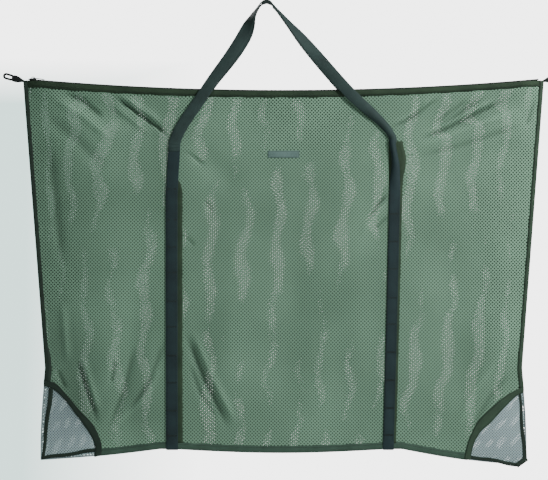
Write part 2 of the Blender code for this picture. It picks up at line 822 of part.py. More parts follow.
SLIDER_X = -MOUTH_WIDTH / 2 + ZIP_INSET + STOP_LENGTH + SEAM_GAP + SLIDER_LENGTH / 2
CHAIN_START = SLIDER_X - SLIDER_LENGTH / 2 + SLIDER_WEDGE_LENGTH + 2 * SEAM_GAP
CHAIN_END = MOUTH_WIDTH / 2 - ZIP_INSET - STOP_LENGTH - 2 * SEAM_GAP


def make_zip_tapes():
    inner = CHAIN_WIDTH / 2 + SEAM_GAP
    shoulder = SLIDER_WIDTH / 2 + 2 * SEAM_GAP
    end = MOUTH_WIDTH / 2 - ZIP_INSET
    places = list(np.linspace(-end, end, ARC_STEPS + 1))
    row = GRIDS[FRONT][0]
    places += [point[0] for point in row if abs(point[0]) < end]
    places = sorted(places)
    low = FOLD_TOP + SEAM_GAP + ZIP_TAPE_THICKNESS / 2
    for side, side_name in SIDE_NAMES.items():
        points = []
        for x in places:
            edge = max(mouth_half(x) + NET_THICKNESS, shoulder + TAPE_THICKNESS)
            points.append(
                [
                    (x, side * inner, zip_plane(x)),
                    (x, side * shoulder, zip_plane(x)),
                    (x, side * edge, mouth_z(x) + low),
                ]
            )
        name = f"{side_name}_zip_tape"
        tape = add_part(name, mesh_from(grid_surface(points), name), "zip_fabric")
        solidify(tape, ZIP_TAPE_THICKNESS)


def bent_to_mouth(mesh):
    for vert in mesh.vertices:
        vert.co.z += zip_plane(vert.co.x)
    return mesh


def make_zip_chains():
    """Two combs whose teeth stand in each other's gaps."""
    outer = CHAIN_WIDTH / 2
    spine = outer - SPINE_WIDTH
    teeth = int((CHAIN_END - CHAIN_START) / TOOTH_PITCH)
    tooth = TOOTH_PITCH / 2 - SEAM_GAP
    for side, side_name in SIDE_NAMES.items():
        first = CHAIN_START + (TOOTH_PITCH / 2 if side == BACK else 0.0)
        places = [CHAIN_START] if side == BACK else []
        starts = set()
        for index in range(teeth):
            starts.add(len(places))
            places += [first + index * TOOTH_PITCH, first + index * TOOTH_PITCH + tooth]
        if side == FRONT:
            places.append(CHAIN_START + teeth * TOOTH_PITCH)
        name = f"{side_name}_zip_chain"
        rows = [[(x, side * spine, 0.0) for x in places], [(x, side * outer, 0.0) for x in places]]
        bm = grid_surface(rows)
        lefts = {round(places[index], 6) for index in starts}
        roots = [
            edge
            for edge in bm.edges
            if max(abs(vert.co.y) for vert in edge.verts) < spine + SEAM_GAP / 2
            and round(min(vert.co.x for vert in edge.verts), 6) in lefts
        ]
        grown = bmesh.ops.extrude_edge_only(bm, edges=roots)
        tips = [item for item in grown["geom"] if isinstance(item, bmesh.types.BMVert)]
        reach = -side * (2 * spine - SEAM_GAP)
        bmesh.ops.translate(bm, vec=(0.0, reach, 0.0), verts=tips)
        chain = add_part(name, bent_to_mouth(mesh_from(bm, name)), "zip_teeth")
        solidify(chain, CHAIN_THICKNESS)


def make_zip_stops():
    end = MOUTH_WIDTH / 2 - ZIP_INSET
    half = CHAIN_THICKNESS / 2
    right = (end - STOP_LENGTH, -CHAIN_WIDTH / 2, -half), (end, CHAIN_WIDTH / 2, half)
    add_part("zip_bottom_stop", bent_to_mouth(box_mesh("zip_bottom_stop", *right)), "zip_metal")
    for side, side_name in SIDE_NAMES.items():
        near = side * SEAM_GAP
        far = side * CHAIN_WIDTH / 2
        low = (-end, min(near, far), -half)
        high = (-end + STOP_LENGTH, max(near, far), half)
        name = f"{side_name}_zip_top_stop"
        add_part(name, bent_to_mouth(box_mesh(name, low, high)), "zip_metal")


def make_slider():
    """Two plates joined by the wedge that parts the teeth, with a bridge for the pull on top."""
    length = SLIDER_LENGTH / 2
    height = SLIDER_HALF_HEIGHT
    name = "zip_slider"
    bm = bmesh.new()
    bmesh.ops.create_cube(bm, size=1.0)
    bmesh.ops.scale(bm, vec=(SLIDER_LENGTH, SLIDER_WIDTH, 2 * height), verts=bm.verts)
    for vert in bm.verts:
        if vert.co.x > 0:
            vert.co.y *= 0.84
    upright = [edge for edge in bm.edges if abs(edge.verts[0].co.z - edge.verts[1].co.z) > height]
    bmesh.ops.bevel(
        bm, geom=upright, offset=SLIDER_ROUNDING, segments=3, profile=0.5, affect="EDGES"
    )
    slider = add_part(name, mesh_from(bm, name), "zip_metal")
    channel = CHAIN_WIDTH / 2 + SEAM_GAP
    inner = CHAIN_THICKNESS / 2 + SEAM_GAP
    slot = ZIP_TAPE_THICKNESS / 2 + SEAM_GAP
    reach = 2 * SLIDER_LENGTH
    cuts = (
        ("slider_channel", (-reach, -channel, -inner), (reach, channel, inner)),
        ("slider_slot", (-reach, -reach, -slot), (reach, reach, slot)),
    )
    cutters = [add_cutter(title, box_mesh(title, low, high)) for title, low, high in cuts]
    deep = inner + SLIDER_PLATE / 2
    wedge_low = (-length + SEAM_GAP, -SLIDER_WEDGE_WIDTH / 2, -deep)
    wedge_high = (-length + SLIDER_WEDGE_LENGTH, SLIDER_WEDGE_WIDTH / 2, deep)
    wedge = add_cutter("slider_wedge", box_mesh("slider_wedge", wedge_low, wedge_high))
    bridge = add_cutter("slider_bridge", bridge_mesh(height))
    for cutter in cutters:
        combine(slider, cutter, "DIFFERENCE")
    for piece in (wedge, bridge):
        combine(slider, piece, "UNION")
    place = Vector((SLIDER_X, 0.0, zip_plane(SLIDER_X)))
    lean = math.asin(SLIDER_X / MOUTH_RADIUS)
    for obj in (slider, *cutters, wedge, bridge):
        obj.location = place
        obj.rotation_euler = (0.0, -lean, 0.0)
    make_pull(place, lean, height)


def bridge_mesh(height):
    """The arch over the slider: two feet and a bent bar between them."""
    half = BRIDGE_LENGTH / 2
    low = height - SLIDER_PLATE / 2
    top = height + BRIDGE_HEIGHT
    points = [(-half, 0.0, low)]
    turn = BRIDGE_HEIGHT / 2
    for sign in (-1, 1):
        for step in range(4):
            angle = math.pi / 2 * (step / 3 if sign < 0 else 1 - step / 3)
            x = sign * (half - turn + turn * math.cos(angle))
            points.append((x, 0.0, top - turn + turn * math.sin(angle)))
    points.append((half, 0.0, low))
    return tube_mesh("slider_bridge", points, BRIDGE_WIRE, False)


def make_pull(place, lean, height):
    """A flat tab whose eye goes round the slider's bridge."""
    name = "zip_pull"
    bar = PULL_THICKNESS * 0.65
    half = PULL_WIDTH / 2
    points = [(-bar, -half), (PULL_LENGTH - half, -half)]
    for step in range(1, 6):
        angle = math.pi * step / 6 - math.pi / 2
        points.append((PULL_LENGTH - half + half * math.cos(angle), half * math.sin(angle)))
    points += [(PULL_LENGTH - half, half), (-bar, half)]
    pull = add_part(name, outline_mesh(name, points, PULL_THICKNESS), "zip_metal")
    eye = BRIDGE_LENGTH / 2 + BRIDGE_WIRE + 3 * SEAM_GAP
    low = (bar, PULL_ARM - half, -PULL_THICKNESS)
    high = (eye, half - PULL_ARM, PULL_THICKNESS)
    window = add_cutter("pull_eye", box_mesh("pull_eye", low, high))
    combine(pull, window, "DIFFERENCE")
    tilt = Matrix.Rotation(-lean, 4, "Y")
    pivot = place + tilt @ Vector((0.0, 0.0, height + PULL_PIVOT_HEIGHT))
    drop = height + PULL_PIVOT_HEIGHT - CHAIN_THICKNESS / 2 - PULL_THICKNESS / 2 - SEAM_GAP
    rest = math.asin(drop / PULL_LENGTH) * 0.8
    for obj in (pull, window):
        obj.location = pivot
        obj.rotation_euler = (0.0, rest - lean, 0.0)


def loop_eye_points():
    """A racetrack round the eye, in the loop's own X and Z, from its tail end outwards."""
    radius = (LOOP_EYE_HEIGHT + LOOP_CORD) / 2
    straight = LOOP_EYE_LENGTH - LOOP_EYE_HEIGHT
    near = LOOP_TAIL + LOOP_CORD / 2 + LOOP_EYE_HEIGHT / 2
    points = []
    for centre, start in ((near, math.pi / 2), (near + straight, -math.pi / 2)):
        for step in range(8):
            angle = start + math.pi * step / 7
            points.append((centre + radius * math.cos(angle), 0.0, radius * math.sin(angle)))
    return points


def make_corner_loop(side):
    """A loop of cord in a flat sewn tail that narrows to the sack's corner."""
    sign = -1 if side == "left" else 1
    name = f"{side}_corner_loop"
    end = LOOP_TAIL_END / 2
    wide = LOOP_TAIL_HEIGHT / 2
    outline = []
    for step in range(7):
        angle = math.pi / 2 + math.pi * step / 6
        outline.append((end * math.cos(angle), end * math.sin(angle)))
    joined = LOOP_TAIL + LOOP_CORD * 0.4
    outline += [
        (LOOP_TAIL * 0.70, -wide),
        (joined, -wide * 0.86),
        (joined, wide * 0.86),
        (LOOP_TAIL * 0.70, wide),
    ]
    tail = outline_mesh(name, outline, LOOP_TAIL_THICKNESS)
    tail.transform(Matrix.Rotation(math.pi / 2, 4, "X"))
    loop = add_part(name, tail, "dark_webbing")
    eye = add_cutter(f"{side}_loop_eye", tube_mesh("loop_eye", loop_eye_points(), LOOP_CORD, True))
    combine(loop, eye, "UNION")
    corner_x = half_width(MOUTH_SAG) + FOLD_TOP + SEAM_GAP + end
    rise = math.radians(LOOP_RISE_DEG)
    turn = math.pi + rise if side == "left" else -rise
    for obj in (loop, eye):
        obj.location = (sign * corner_x, 0.0, MOUTH_SAG)
        obj.rotation_euler = (0.0, turn, 0.0)


make_nets()
make_bindings_and_hems()
make_straps()
make_label()
make_handles()
make_zip_tapes()
make_zip_chains()
make_zip_stops()
make_slider()
make_corner_loop("left")
make_corner_loop("right")
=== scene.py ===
import math

import bmesh
import bpy
import numpy as np
from mathutils import Matrix, Vector
from mathutils.geometry import interpolate_bezier


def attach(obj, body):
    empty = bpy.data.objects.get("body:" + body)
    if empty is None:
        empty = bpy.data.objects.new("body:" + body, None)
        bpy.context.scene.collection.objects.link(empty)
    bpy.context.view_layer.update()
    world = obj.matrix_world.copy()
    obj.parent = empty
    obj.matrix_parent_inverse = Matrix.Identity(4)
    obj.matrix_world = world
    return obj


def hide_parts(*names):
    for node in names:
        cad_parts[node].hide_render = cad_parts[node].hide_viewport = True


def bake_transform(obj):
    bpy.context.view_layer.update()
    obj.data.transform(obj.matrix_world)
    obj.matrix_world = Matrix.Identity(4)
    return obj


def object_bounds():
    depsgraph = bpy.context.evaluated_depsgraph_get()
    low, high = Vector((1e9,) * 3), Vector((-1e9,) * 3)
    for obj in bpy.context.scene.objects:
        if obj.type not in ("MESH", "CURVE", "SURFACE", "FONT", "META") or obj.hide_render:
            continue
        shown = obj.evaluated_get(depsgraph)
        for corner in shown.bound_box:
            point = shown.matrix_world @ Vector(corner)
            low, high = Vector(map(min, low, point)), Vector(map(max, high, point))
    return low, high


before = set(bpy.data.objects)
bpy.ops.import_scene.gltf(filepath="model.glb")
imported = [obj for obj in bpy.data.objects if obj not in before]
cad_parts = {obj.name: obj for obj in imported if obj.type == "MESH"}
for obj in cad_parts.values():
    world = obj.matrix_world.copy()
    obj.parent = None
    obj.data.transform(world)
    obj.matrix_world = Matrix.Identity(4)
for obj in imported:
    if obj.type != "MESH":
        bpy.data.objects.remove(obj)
cad_low, cad_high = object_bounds()

# The sack's own frame starts midway along the mouth, at the mouth's lowest point.
SACK_PLACE = Vector((0.039, 0.0, -0.2075))

# Outline of the sack
MOUTH_WIDTH = 1.190
MOUTH_SAG = 0.0265
WAIST_WIDTH = 1.090
WAIST_HEIGHT = 0.185
BASE_WIDTH = 1.112
SACK_HEIGHT = 0.816
CORNER_DROP = {"left": 0.026, "right": 0.038}
BOTTOM_SAG = 0.009
CORNER_SAG = {"left": 0.0028, "right": 0.0055}
MOUTH_DEPTH = 0.028
BELLY_DEPTH = 0.036
BELLY_REACH = 0.20
BOTTOM_REACH = 0.45
SIDE_REACH = 0.16
MOUTH_REACH = 0.045

# Cloth, tape and webbing
NET_THICKNESS = 0.0006
TAPE_THICKNESS = 0.0006
SEAM_GAP = 0.0003
SIDE_BINDING_WIDTH = 0.009
BOTTOM_BINDING_WIDTH = 0.012
HEM_WIDTH = 0.012
WEBBING_WIDTH = 0.029
WEBBING_THICKNESS = 0.0016
HEM_HALF = NET_THICKNESS / 2 + SEAM_GAP + TAPE_THICKNESS
SEAM_HALF = HEM_HALF + SEAM_GAP / 2
TAPE_OFFSET = NET_THICKNESS / 2 + SEAM_GAP
TAPE_MIDDLE = TAPE_OFFSET + TAPE_THICKNESS / 2
BINDING_MIDDLE = SEAM_HALF + TAPE_OFFSET + TAPE_THICKNESS / 2
STRAP_OFFSET = TAPE_OFFSET + TAPE_THICKNESS + SEAM_GAP
STRAP_MIDDLE = STRAP_OFFSET + WEBBING_THICKNESS / 2
FOLD_TOP = 0.0013
WEBBING_EDGE = 0.0004
TAPE_CROWN = 0.0004
ZIP_RISE = 0.0041
MOUTH_RADIUS = (MOUTH_WIDTH**2 / 4 + MOUTH_SAG**2) / (2 * MOUTH_SAG)

FRONT = -1
BACK = 1
SIDES = {"front": FRONT, "back": BACK}
ENDS = {"left": -1, "right": 1}

# Straps, as (height, x) up each one, and how much wider at the right the cloth lies flat there
STRAPS = {
    "left": ((-0.816, -0.2545), (-0.235, -0.2542), (-0.096, -0.2465)),
    "right": ((-0.816, 0.2420), (-0.222, 0.2556), (-0.110, 0.2540)),
}
BACKING_SHOW = {"left": 0.0105, "right": 0.0060}

# The sewn webbing, its bartacks, and the olive backing that shows at its right. The backing's
# edge slants in at the top on the left (how much, how far down), and bulges out on the right
# (how much, at what height, how far it reaches).
SEWN_WIDTH = {"left": 0.0268, "right": 0.0245}
SEWN_SHIFT = {"left": -0.0005, "right": -0.0022}
SEWN_START = {"left": -0.114, "right": -0.110}
BACKING_EDGE = {"left": 0.0240, "right": 0.0150}
BACKING_START = {"left": -0.200, "right": -0.1135}
BACKING_WIDTH = 0.030
BACKING_SLANT = (-0.0125, 0.034)
BACKING_BULGE = (0.0095, -0.157, 0.034)
STRAP_SEAM_START = -0.222
STRAP_SEAM_HALF = 0.0100
STRAP_END = 0.006
BACKING_END = 0.013
STRAP_SEAM_END = 0.016
TURN_RISE = 0.0009
STITCH_OUT = 0.0005
TACKS = {
    "left": (-0.222, -0.292, -0.354, -0.412, -0.478, -0.536, -0.602, -0.664, -0.728, -0.786),
    "right": (-0.226, -0.279, -0.342, -0.404, -0.470, -0.530, -0.594, -0.658, -0.722, -0.784),
}
TACK_SHARE = 0.84
TACK_STITCHES = 14
TACK_LEAN = 0.35

# Bindings and hems as they show. The side bindings spread below a height, over a reach.
LOWER_BINDING_SHOWS = 0.0155
HEM_SHOWS = (0.0146, 0.0122)
HEM_SEAM = 0.0098
EDGE_SPREAD = {"left": 0.0060, "right": 0.0012}
SPREAD_TOP = -0.575
SPREAD_REACH = 0.06
SIDE_SEAM_SHARE = 0.78
LOWER_SEAM_SHARE = 0.72
UNDER_BAND = 0.008

# How far each tape swells in and out, and how far a folded tape's inner edge wanders
SIDE_PUCKER = (0.00012, 0.0004)
LOWER_PUCKER = (0.00014, 0.0005)
HEM_PUCKER = (0.00020, 0.0006)
CORNER_PUCKER = 0.0002
STRAP_PUCKER = 0.00016
BACKING_PUCKER = 0.0003
HANDLE_PUCKER = 0.00025

# The right-hand webbing curls lengthwise where the handle pulls it over to one side
CURL = 3.7
LEAST_CURL = 0.25
CURL_TOP = -0.1325
CURL_END = -0.246
CURL_INSET = (0.0065, -0.160, 0.035)
CURL_COLUMNS = 9
TAIL_CURL = 3.0
TAIL_SIZE = 0.5
FOOT_SIZE = 0.9
TAIL_RISE = 0.0057

# Drainage corners
DRAIN_WIDTH = 0.136
DRAIN_HEIGHT = 0.176

# Outer and inner edge of each corner's band, and the seams along its net, from the edge down
BANDS = {
    "left": (
        ((-0.549, -0.660), (-0.522, -0.666), (-0.496, -0.693), (-0.465, -0.728),
         (-0.436, -0.760), (-0.420, -0.793), (-0.416, -0.809), (-0.417, -0.8312)),
        ((-0.549, -0.673), (-0.529, -0.679), (-0.506, -0.698), (-0.480, -0.730),
         (-0.453, -0.767), (-0.436, -0.796), (-0.432, -0.812), (-0.433, -0.8355)),
    ),
    "right": (
        ((0.550, -0.674), (0.523, -0.686), (0.499, -0.701), (0.479, -0.718), (0.460, -0.735),
         (0.443, -0.755), (0.431, -0.778), (0.422, -0.800), (0.413, -0.8395)),
        ((0.550, -0.687), (0.537, -0.693), (0.511, -0.716), (0.488, -0.741), (0.470, -0.760),
         (0.453, -0.775), (0.443, -0.789), (0.436, -0.804), (0.427, -0.8425)),
    ),
}
CORNER_SEAMS = {
    "left": (((-0.532, -0.678), (-0.551, -0.838)), (0.0105, 0.0066)),
    "right": (((0.540, -0.686), (0.5525, -0.842)), (0.0052, 0.0098)),
}
LOWER_SEAMS = {
    "left": (((-0.553, -0.8375), (-0.428, -0.8190)), (0.0078, 0.0086)),
    "right": (((0.540, -0.8535), (0.420, -0.8335)), (0.0088, 0.0086)),
}

# The cut-off right-hand corner, and the corners' trim
CHAMFER = ((0.5585, -0.8425), (0.5370, -0.8580))
SELVEDGE_WIDTH = 0.0030
CORNER_SEAM_BOW = 0.0012
CORNER_FOLD_REACH = 0.0105
BAND_RISE = 0.0011
BAND_SEAM_SHARE = 0.22

# Label
LABEL_HALF = 0.036
LABEL_TOP = -0.135
LABEL_LOW = -0.151
LABEL_SEAM = 0.0015
LABEL_THICKNESS = 0.0007
LABEL_EDGE = 0.0002
LABEL_OUT = 0.0004
LABEL_STITCH = {"step": 0.0030, "length": 0.0021, "width": 0.0004}

# Net
NET_INSET = 0.003
CRIMP = 0.00030
PULL = 0.0004
HOLE_ROUND = 0.56
LATTICE_SPARE = 1.04
CORNER_LOW = -0.86
CORNER_SPARE = 0.05
NET_PITCH = 0.00566
NET_HOLE = {FRONT: 0.0026, BACK: 0.00074}
GREY_PITCH = 0.0046
GREY_HOLE = {FRONT: 0.00230, BACK: 0.00090}
KNOT_RISE = 0.00030
BACK_TURN = 0.3
GREY_TURN = 7.0
BACK_STRETCH = 1.133

# Handles, with their places in X and Z: the tucked foot's from the foot, the others' from the peg
HANDLE_SHOWS = 0.0262
FOOT_HEIGHT = {"left": -0.117, "right": -0.110}
FOOT_SHIFT = {"left": -0.0002, "right": -0.0020}
TUCKED_FOOT = (-0.0032, 0.0035)
TAIL_LENGTH = 0.020
TAIL_OUT = 0.0003
HANDLE_SHOULDER = (0.0205, -0.0155)
HANDLE_RIM = (0.0060, -0.0012)
SHOULDER_TURN = 0.13
CROSSING_SHARE = 0.36
CROSSING_CURL = 0.35
HANDLE_CURL = 0.3
HANDLE_TWIST_END = {"left": 0.085, "right": 0.200}
HANDLE_BOW = -0.0065
LEG_BOW = {"left": 0.0018, "right": -0.0065}
BACK_HANDLE_OUT = -0.0035
BACK_HANDLE_IN = 0.0055
HANDLE_CLEARANCE = 0.0010

# Zip teeth: from corner to corner, less these two
TOOTH_PITCH = 0.0030
TOOTH_SIZE = (0.0012, 0.0040, 0.0022)
TOOTH_OUT = 0.0009
TOOTH_EDGE = 0.00025
TEETH_START = 0.0215
TEETH_END = 0.0155

# Corner loops: the cord's eye, and the sleeve's stations as (run, half height, half depth)
LOOP_CORNER = 0.5991
LOOP_TILT = {"left": 16.0, "right": 14.0}
EYE_RADIUS = 0.0049
EYE_START = 0.0262
EYE_LENGTH = 0.0112
CORD_RADIUS = 0.0026
SLEEVE = (
    (-0.0056, 0.0022, 0.0011),
    (0.0000, 0.0036, 0.0016),
    (0.0055, 0.0060, 0.0020),
    (0.0110, 0.0074, 0.0022),
    (0.0165, 0.0077, 0.0022),
    (0.0210, 0.0072, 0.0020),
    (0.0238, 0.0060, 0.0015),
)

# How far in from the side, the hem, the bottom binding and a strap the cloth is kept calm
CALM_REACHES = (0.05, 0.03, 0.08)
STRAP_CALM_REACH = 0.03
RIPPLE = 0.0007
# Painted crease shade: its width as a share of the crease's, and the crease height that paints it
# in full
CREASE_SHADE_WIDTH_SHARE = 0.62
FULL_SHADE_CREASE = 0.0062


def in_metres(*folds):
    """Tables of folds in millimetres, as metres."""
    return tuple(
        (tuple((x / 1000, z / 1000) for x, z in points), width / 1000, height / 1000)
        for points, width, height in folds
    )


# Folds and creases, in millimetres: points of the sack's own X and Z, how wide, and how high
FRONT_FOLDS = in_metres(
    (((560, -10), (285, -105)), 26, -5),
    (((570, -60), (290, -150)), 26, 5),
    (((565, -110), (300, -215)), 30, -4.5),
    (((-520, 0), (-275, -98)), 24, -6),
    (((-560, -120), (-300, -240)), 40, 4),
    (((-210, -120), (-100, -230)), 26, -4.5),
    (((-380, -560), (-470, -770)), 34, 5.5),
    (((-320, -420), (-380, -760)), 34, -5),
    (((-110, -180), (-140, -760)), 40, 4.5),
    (((30, -260), (10, -780)), 44, -5),
    (((150, -160), (170, -700)), 40, 4.5),
    (((370, -330), (420, -750)), 38, -5),
    (((480, -240), (500, -640)), 36, 4),
)
# These creases also paint shade into the net's colour along their bottoms, and a highlight along
# their ridges
FRONT_CREASES = in_metres(
    (((244, -82), (292, -60), (333, -27), (354, -18)), 6.5, -6),
    (((250, -70), (300, -44), (345, -12)), 8, 4),
    (((333, -93), (386, -62), (450, -13)), 7.5, -4.8),
    (((420, -18), (372, -52), (340, -75)), 5.5, -4),
    (((324, -22), (296, -50), (267, -73)), 5.5, -4),
    (((309, -109), (365, -88), (418, -62), (507, -18)), 4.8, -7.2),
    (((313, -98), (372, -73), (487, -13)), 5.8, 5.8),
    (((300, -128), (400, -90), (540, -40)), 9, 4),
    (((300, -150), (420, -118), (545, -75)), 10, -3.4),
    (((578, -13), (553, -80)), 5.5, -4.5),
    (((-386, -11), (-285, -84), (-259, -106)), 4.2, -7.2),
    (((-378, -1), (-276, -72)), 8, 5),
    (((-395, -26), (-300, -98)), 7.5, 3.4),
    (((-500, -2), (-459, -22), (-410, -62)), 7, -5.8),
    (((-525, -12), (-460, -50), (-395, -105)), 11, 4.6),
    (((-545, -50), (-470, -110), (-400, -180)), 16, -3.4),
    (((-228, -132), (-180, -169)), 4.8, -4.4),
    (((-180, -249), (-163, -275)), 4.5, -3.6),
    (((-228, -325), (-203, -354)), 4.8, -3.6),
    (((239, -233), (212, -261), (187, -304)), 5, -5.8),
    (((236, -250), (204, -282), (176, -330)), 8, 3.6),
    (((239, -283), (203, -318)), 5, -4.2),
    (((-226, -545), (-180, -659), (-123, -774)), 9, -5.6),
    (((-208, -545), (-160, -655), (-104, -765)), 9, 4.6),
    (((-215, -620), (-190, -690), (-150, -750)), 7, -3.6),
    (((-269, -560), (-300, -650), (-370, -760)), 9, -4),
    (((-276, -600), (-310, -690), (-395, -775)), 10, 4),
    (((-340, -580), (-365, -680), (-400, -770)), 8, -3.6),
    (((-386, -613), (-394, -668)), 5.5, -4.6),
    (((-471, -613), (-455, -660), (-433, -728), (-426, -760)), 6.2, -5.8),
    (((-459, -605), (-444, -655), (-421, -728)), 7.5, 4.4),
    (((-519, -634), (-498, -681)), 5.5, -4.6),
    (((-505, -480), (-492, -620)), 9, 3.6),
    (((-535, -120), (-520, -260), (-505, -400)), 12, -3.4),
    (((520, -640), (470, -700), (425, -780)), 10, -3.4),
    (((500, -600), (440, -680), (395, -780)), 12, 3),
    # Two broad, shallow creases whose shade is painted over the lower left
    (((-505, -500), (-440, -780)), 70, -2.6),
    (((-345, -560), (-330, -800)), 50, -1.8),
)
BACK_FOLDS = in_metres(
    (((-560, -10), (-290, -120)), 28, -5),
    (((-565, -90), (-295, -200)), 30, 4),
    (((540, 0), (290, -110)), 26, -5.5),
    (((360, -380), (410, -760)), 36, 4.5),
    (((-360, -420), (-420, -760)), 36, -4),
    (((-90, -200), (-60, -740)), 44, -4),
    (((80, -160), (110, -760)), 42, 4),
)
BACK_CREASES = in_metres(
    (((520, -6), (410, -55), (290, -110)), 7, -4.5),
    (((540, -30), (430, -80), (305, -135)), 10, 3.4),
    (((-520, -4), (-410, -50), (-290, -100)), 7, -4.5),
    (((-535, -30), (-430, -78), (-300, -130)), 10, 3.4),
    (((222, -520), (180, -640), (100, -770)), 10, -3.6),
    (((-222, -500), (-190, -620), (-120, -760)), 10, -3.4),
    (((-280, -560), (-330, -680), (-395, -775)), 10, -3.4),
    (((286, -600), (330, -700), (400, -780)), 10, -3.4),
)
# The creases that paint shade and highlight into the net's colour
SHADE_CREASES = {FRONT: FRONT_CREASES, BACK: BACK_CREASES}
PLEATS = {FRONT: FRONT_FOLDS + FRONT_CREASES, BACK: BACK_FOLDS + BACK_CREASES}


def ease(share):
    share = np.clip(share, 0.0, 1.0)
    return 1.0 - (1.0 - share) ** 2


def half_width(z):
    waist_z = WAIST_HEIGHT - SACK_HEIGHT
    upper = WAIST_WIDTH + (MOUTH_WIDTH - WAIST_WIDTH) * (z - waist_z) / (MOUTH_SAG - waist_z)
    share = np.clip((waist_z - z) / WAIST_HEIGHT, 0.0, 1.0)
    lower = WAIST_WIDTH + (BASE_WIDTH - WAIST_WIDTH) * np.sin(share * math.pi / 2)
    return np.where(z >= waist_z, upper, lower) / 2


def mouth_z(x):
    return MOUTH_RADIUS - np.sqrt(MOUTH_RADIUS**2 - np.asarray(x) ** 2)


def strap_x(strap, z):
    heights, places = zip(*STRAPS[strap])
    return np.interp(z, heights, places)


def by_end(x, values):
    """The left-hand value left of the middle, and the right-hand one right of it."""
    return np.where(x < 0, values["left"], values["right"])


def bottom_z(x):
    x = np.asarray(x, float)
    left, right = (STRAPS[strap][0][1] for strap in ENDS)
    inner = np.where(x < 0, abs(left), right) + WEBBING_WIDTH
    share = np.maximum(np.abs(x) - inner, 0.0) / (BASE_WIDTH / 2 - inner)
    between = np.clip((x - left) / (right - left), 0.0, 1.0)
    sag = BOTTOM_SAG * np.sin(math.pi * between)
    sag += by_end(x, CORNER_SAG) * np.sin(math.pi * np.clip(share, 0.0, 1.0))
    return -SACK_HEIGHT - by_end(x, CORNER_DROP) * share - sag


def strap_band(strap, z):
    middle = strap_x(strap, z)
    return middle - WEBBING_WIDTH / 2, middle + WEBBING_WIDTH / 2 + BACKING_SHOW[strap]


def rooms(x, z):
    """How far a point of the cloth is from the side binding, the hem and the bottom binding."""
    side = half_width(z) - np.abs(x) - SIDE_BINDING_WIDTH - SEAM_GAP
    return side, mouth_z(x) - z - HEM_WIDTH, z - bottom_z(x) - BOTTOM_BINDING_WIDTH


def belly(x, z):
    side, down, up = rooms(x, z)
    full = MOUTH_DEPTH + (BELLY_DEPTH - MOUTH_DEPTH) * ease(down / BELLY_REACH)
    full = SEAM_HALF + (full / 2 - SEAM_HALF) * ease(up / BOTTOM_REACH)
    reach = MOUTH_REACH + (SIDE_REACH - MOUTH_REACH) * ease(down / BELLY_REACH)
    return SEAM_HALF + (full - SEAM_HALF) * ease(side / reach)


def calm(x, z):
    """Nothing at hems, bindings and straps, and one where the cloth folds freely."""
    share = np.minimum.reduce([room / reach for room, reach in zip(rooms(x, z), CALM_REACHES)])
    for strap in ENDS:
        left, right = strap_band(strap, z)
        share = np.minimum(share, np.maximum(left - x, x - right) / STRAP_CALM_REACH)
    return ease(share)


def pleats(x, z, folds):
    total = np.zeros_like(x)
    for points, width, height in folds:
        points = np.array(points)
        steps = np.linalg.norm(np.diff(points, axis=0), axis=1)
        starts = np.concatenate([[0.0], np.cumsum(steps)])
        nearest = np.full_like(x, 9.0)
        run = np.zeros_like(x)
        for start, end, step, before in zip(points, points[1:], steps, starts):
            along = (end - start) / step
            share = np.clip((x - start[0]) * along[0] + (z - start[1]) * along[1], 0.0, step)
            away = np.hypot(x - start[0] - share * along[0], z - start[1] - share * along[1])
            closer = away < nearest
            nearest = np.where(closer, away, nearest)
            run = np.where(closer, (before + share) / starts[-1], run)
        fade = np.clip(np.minimum(5.0 * run, 5.0 * (1.0 - run)), 0.0, 1.0)
        total += height * fade * np.exp(-((nearest / width) ** 2))
    return total


def folded_depth(side, x, z):
    """Half the sack's depth at these places of its front or back cloth."""
    for strap in ENDS:
        left, right = strap_band(strap, z)
        under = (x >= left - SEAM_GAP) & (x <= right + SEAM_GAP)
        x = np.where(under, strap_x(strap, z), x)
    ripple = RIPPLE * np.sin(23.0 * x + 9.0 * z + side) * np.sin(17.0 * z - 11.0 * x)
    return belly(x, z) + calm(x, z) * (pleats(x, z, PLEATS[side]) + ripple)


def crease_shade_tone(side, x, z):
    """Painted shade and highlight for the net's colour: from minus one in the bottom of a crease to
    one on its ridge.
    """
    share = CREASE_SHADE_WIDTH_SHARE
    marks = [(path, share * width, high / FULL_SHADE_CREASE) for path, width, high in SHADE_CREASES[side]]
    return np.clip(pleats(x, z, marks), -1.0, 1.0)


class Table:
    """A quantity of the cloth, worked out once on a close grid and read between its points."""

    step = 0.002
    low = (-0.62, -0.88)
    counts = (621, 461)

    def __init__(self, quantity, side):
        x, z = (self.low[axis] + self.step * np.arange(self.counts[axis]) for axis in (0, 1))
        self.values = quantity(side, *np.meshgrid(x, z, indexing="ij"))

    def read(self, x, z):
        cells = []
        shares = []
        for axis, place in enumerate((x, z)):
            run = (np.asarray(place, float) - self.low[axis]) / self.step
            cell = np.clip(np.floor(run).astype(int), 0, self.counts[axis] - 2)
            cells.append(cell)
            shares.append(np.clip(run - cell, 0.0, 1.0))
        (i, j), (u, v) = cells, shares
        near = self.values[i, j] * (1.0 - u) + self.values[i + 1, j] * u
        far = self.values[i, j + 1] * (1.0 - u) + self.values[i + 1, j + 1] * u
        return near * (1.0 - v) + far * v


DEPTHS = {side: Table(folded_depth, side) for side in (FRONT, BACK)}
# Painted crease shade and highlight, worked out once for each face
CREASE_SHADE_TONES = {side: Table(crease_shade_tone, side) for side in (FRONT, BACK)}


def cloth_depth(side, x, z):
    return DEPTHS[side].read(x, z)


def coordinates(mesh):
    places = np.zeros(len(mesh.vertices) * 3)
    mesh.vertices.foreach_get("co", places)
    return places.reshape(-1, 3)


def set_coordinates(mesh, places):
    mesh.vertices.foreach_set("co", places.astype(np.float32).ravel())
    mesh.update()


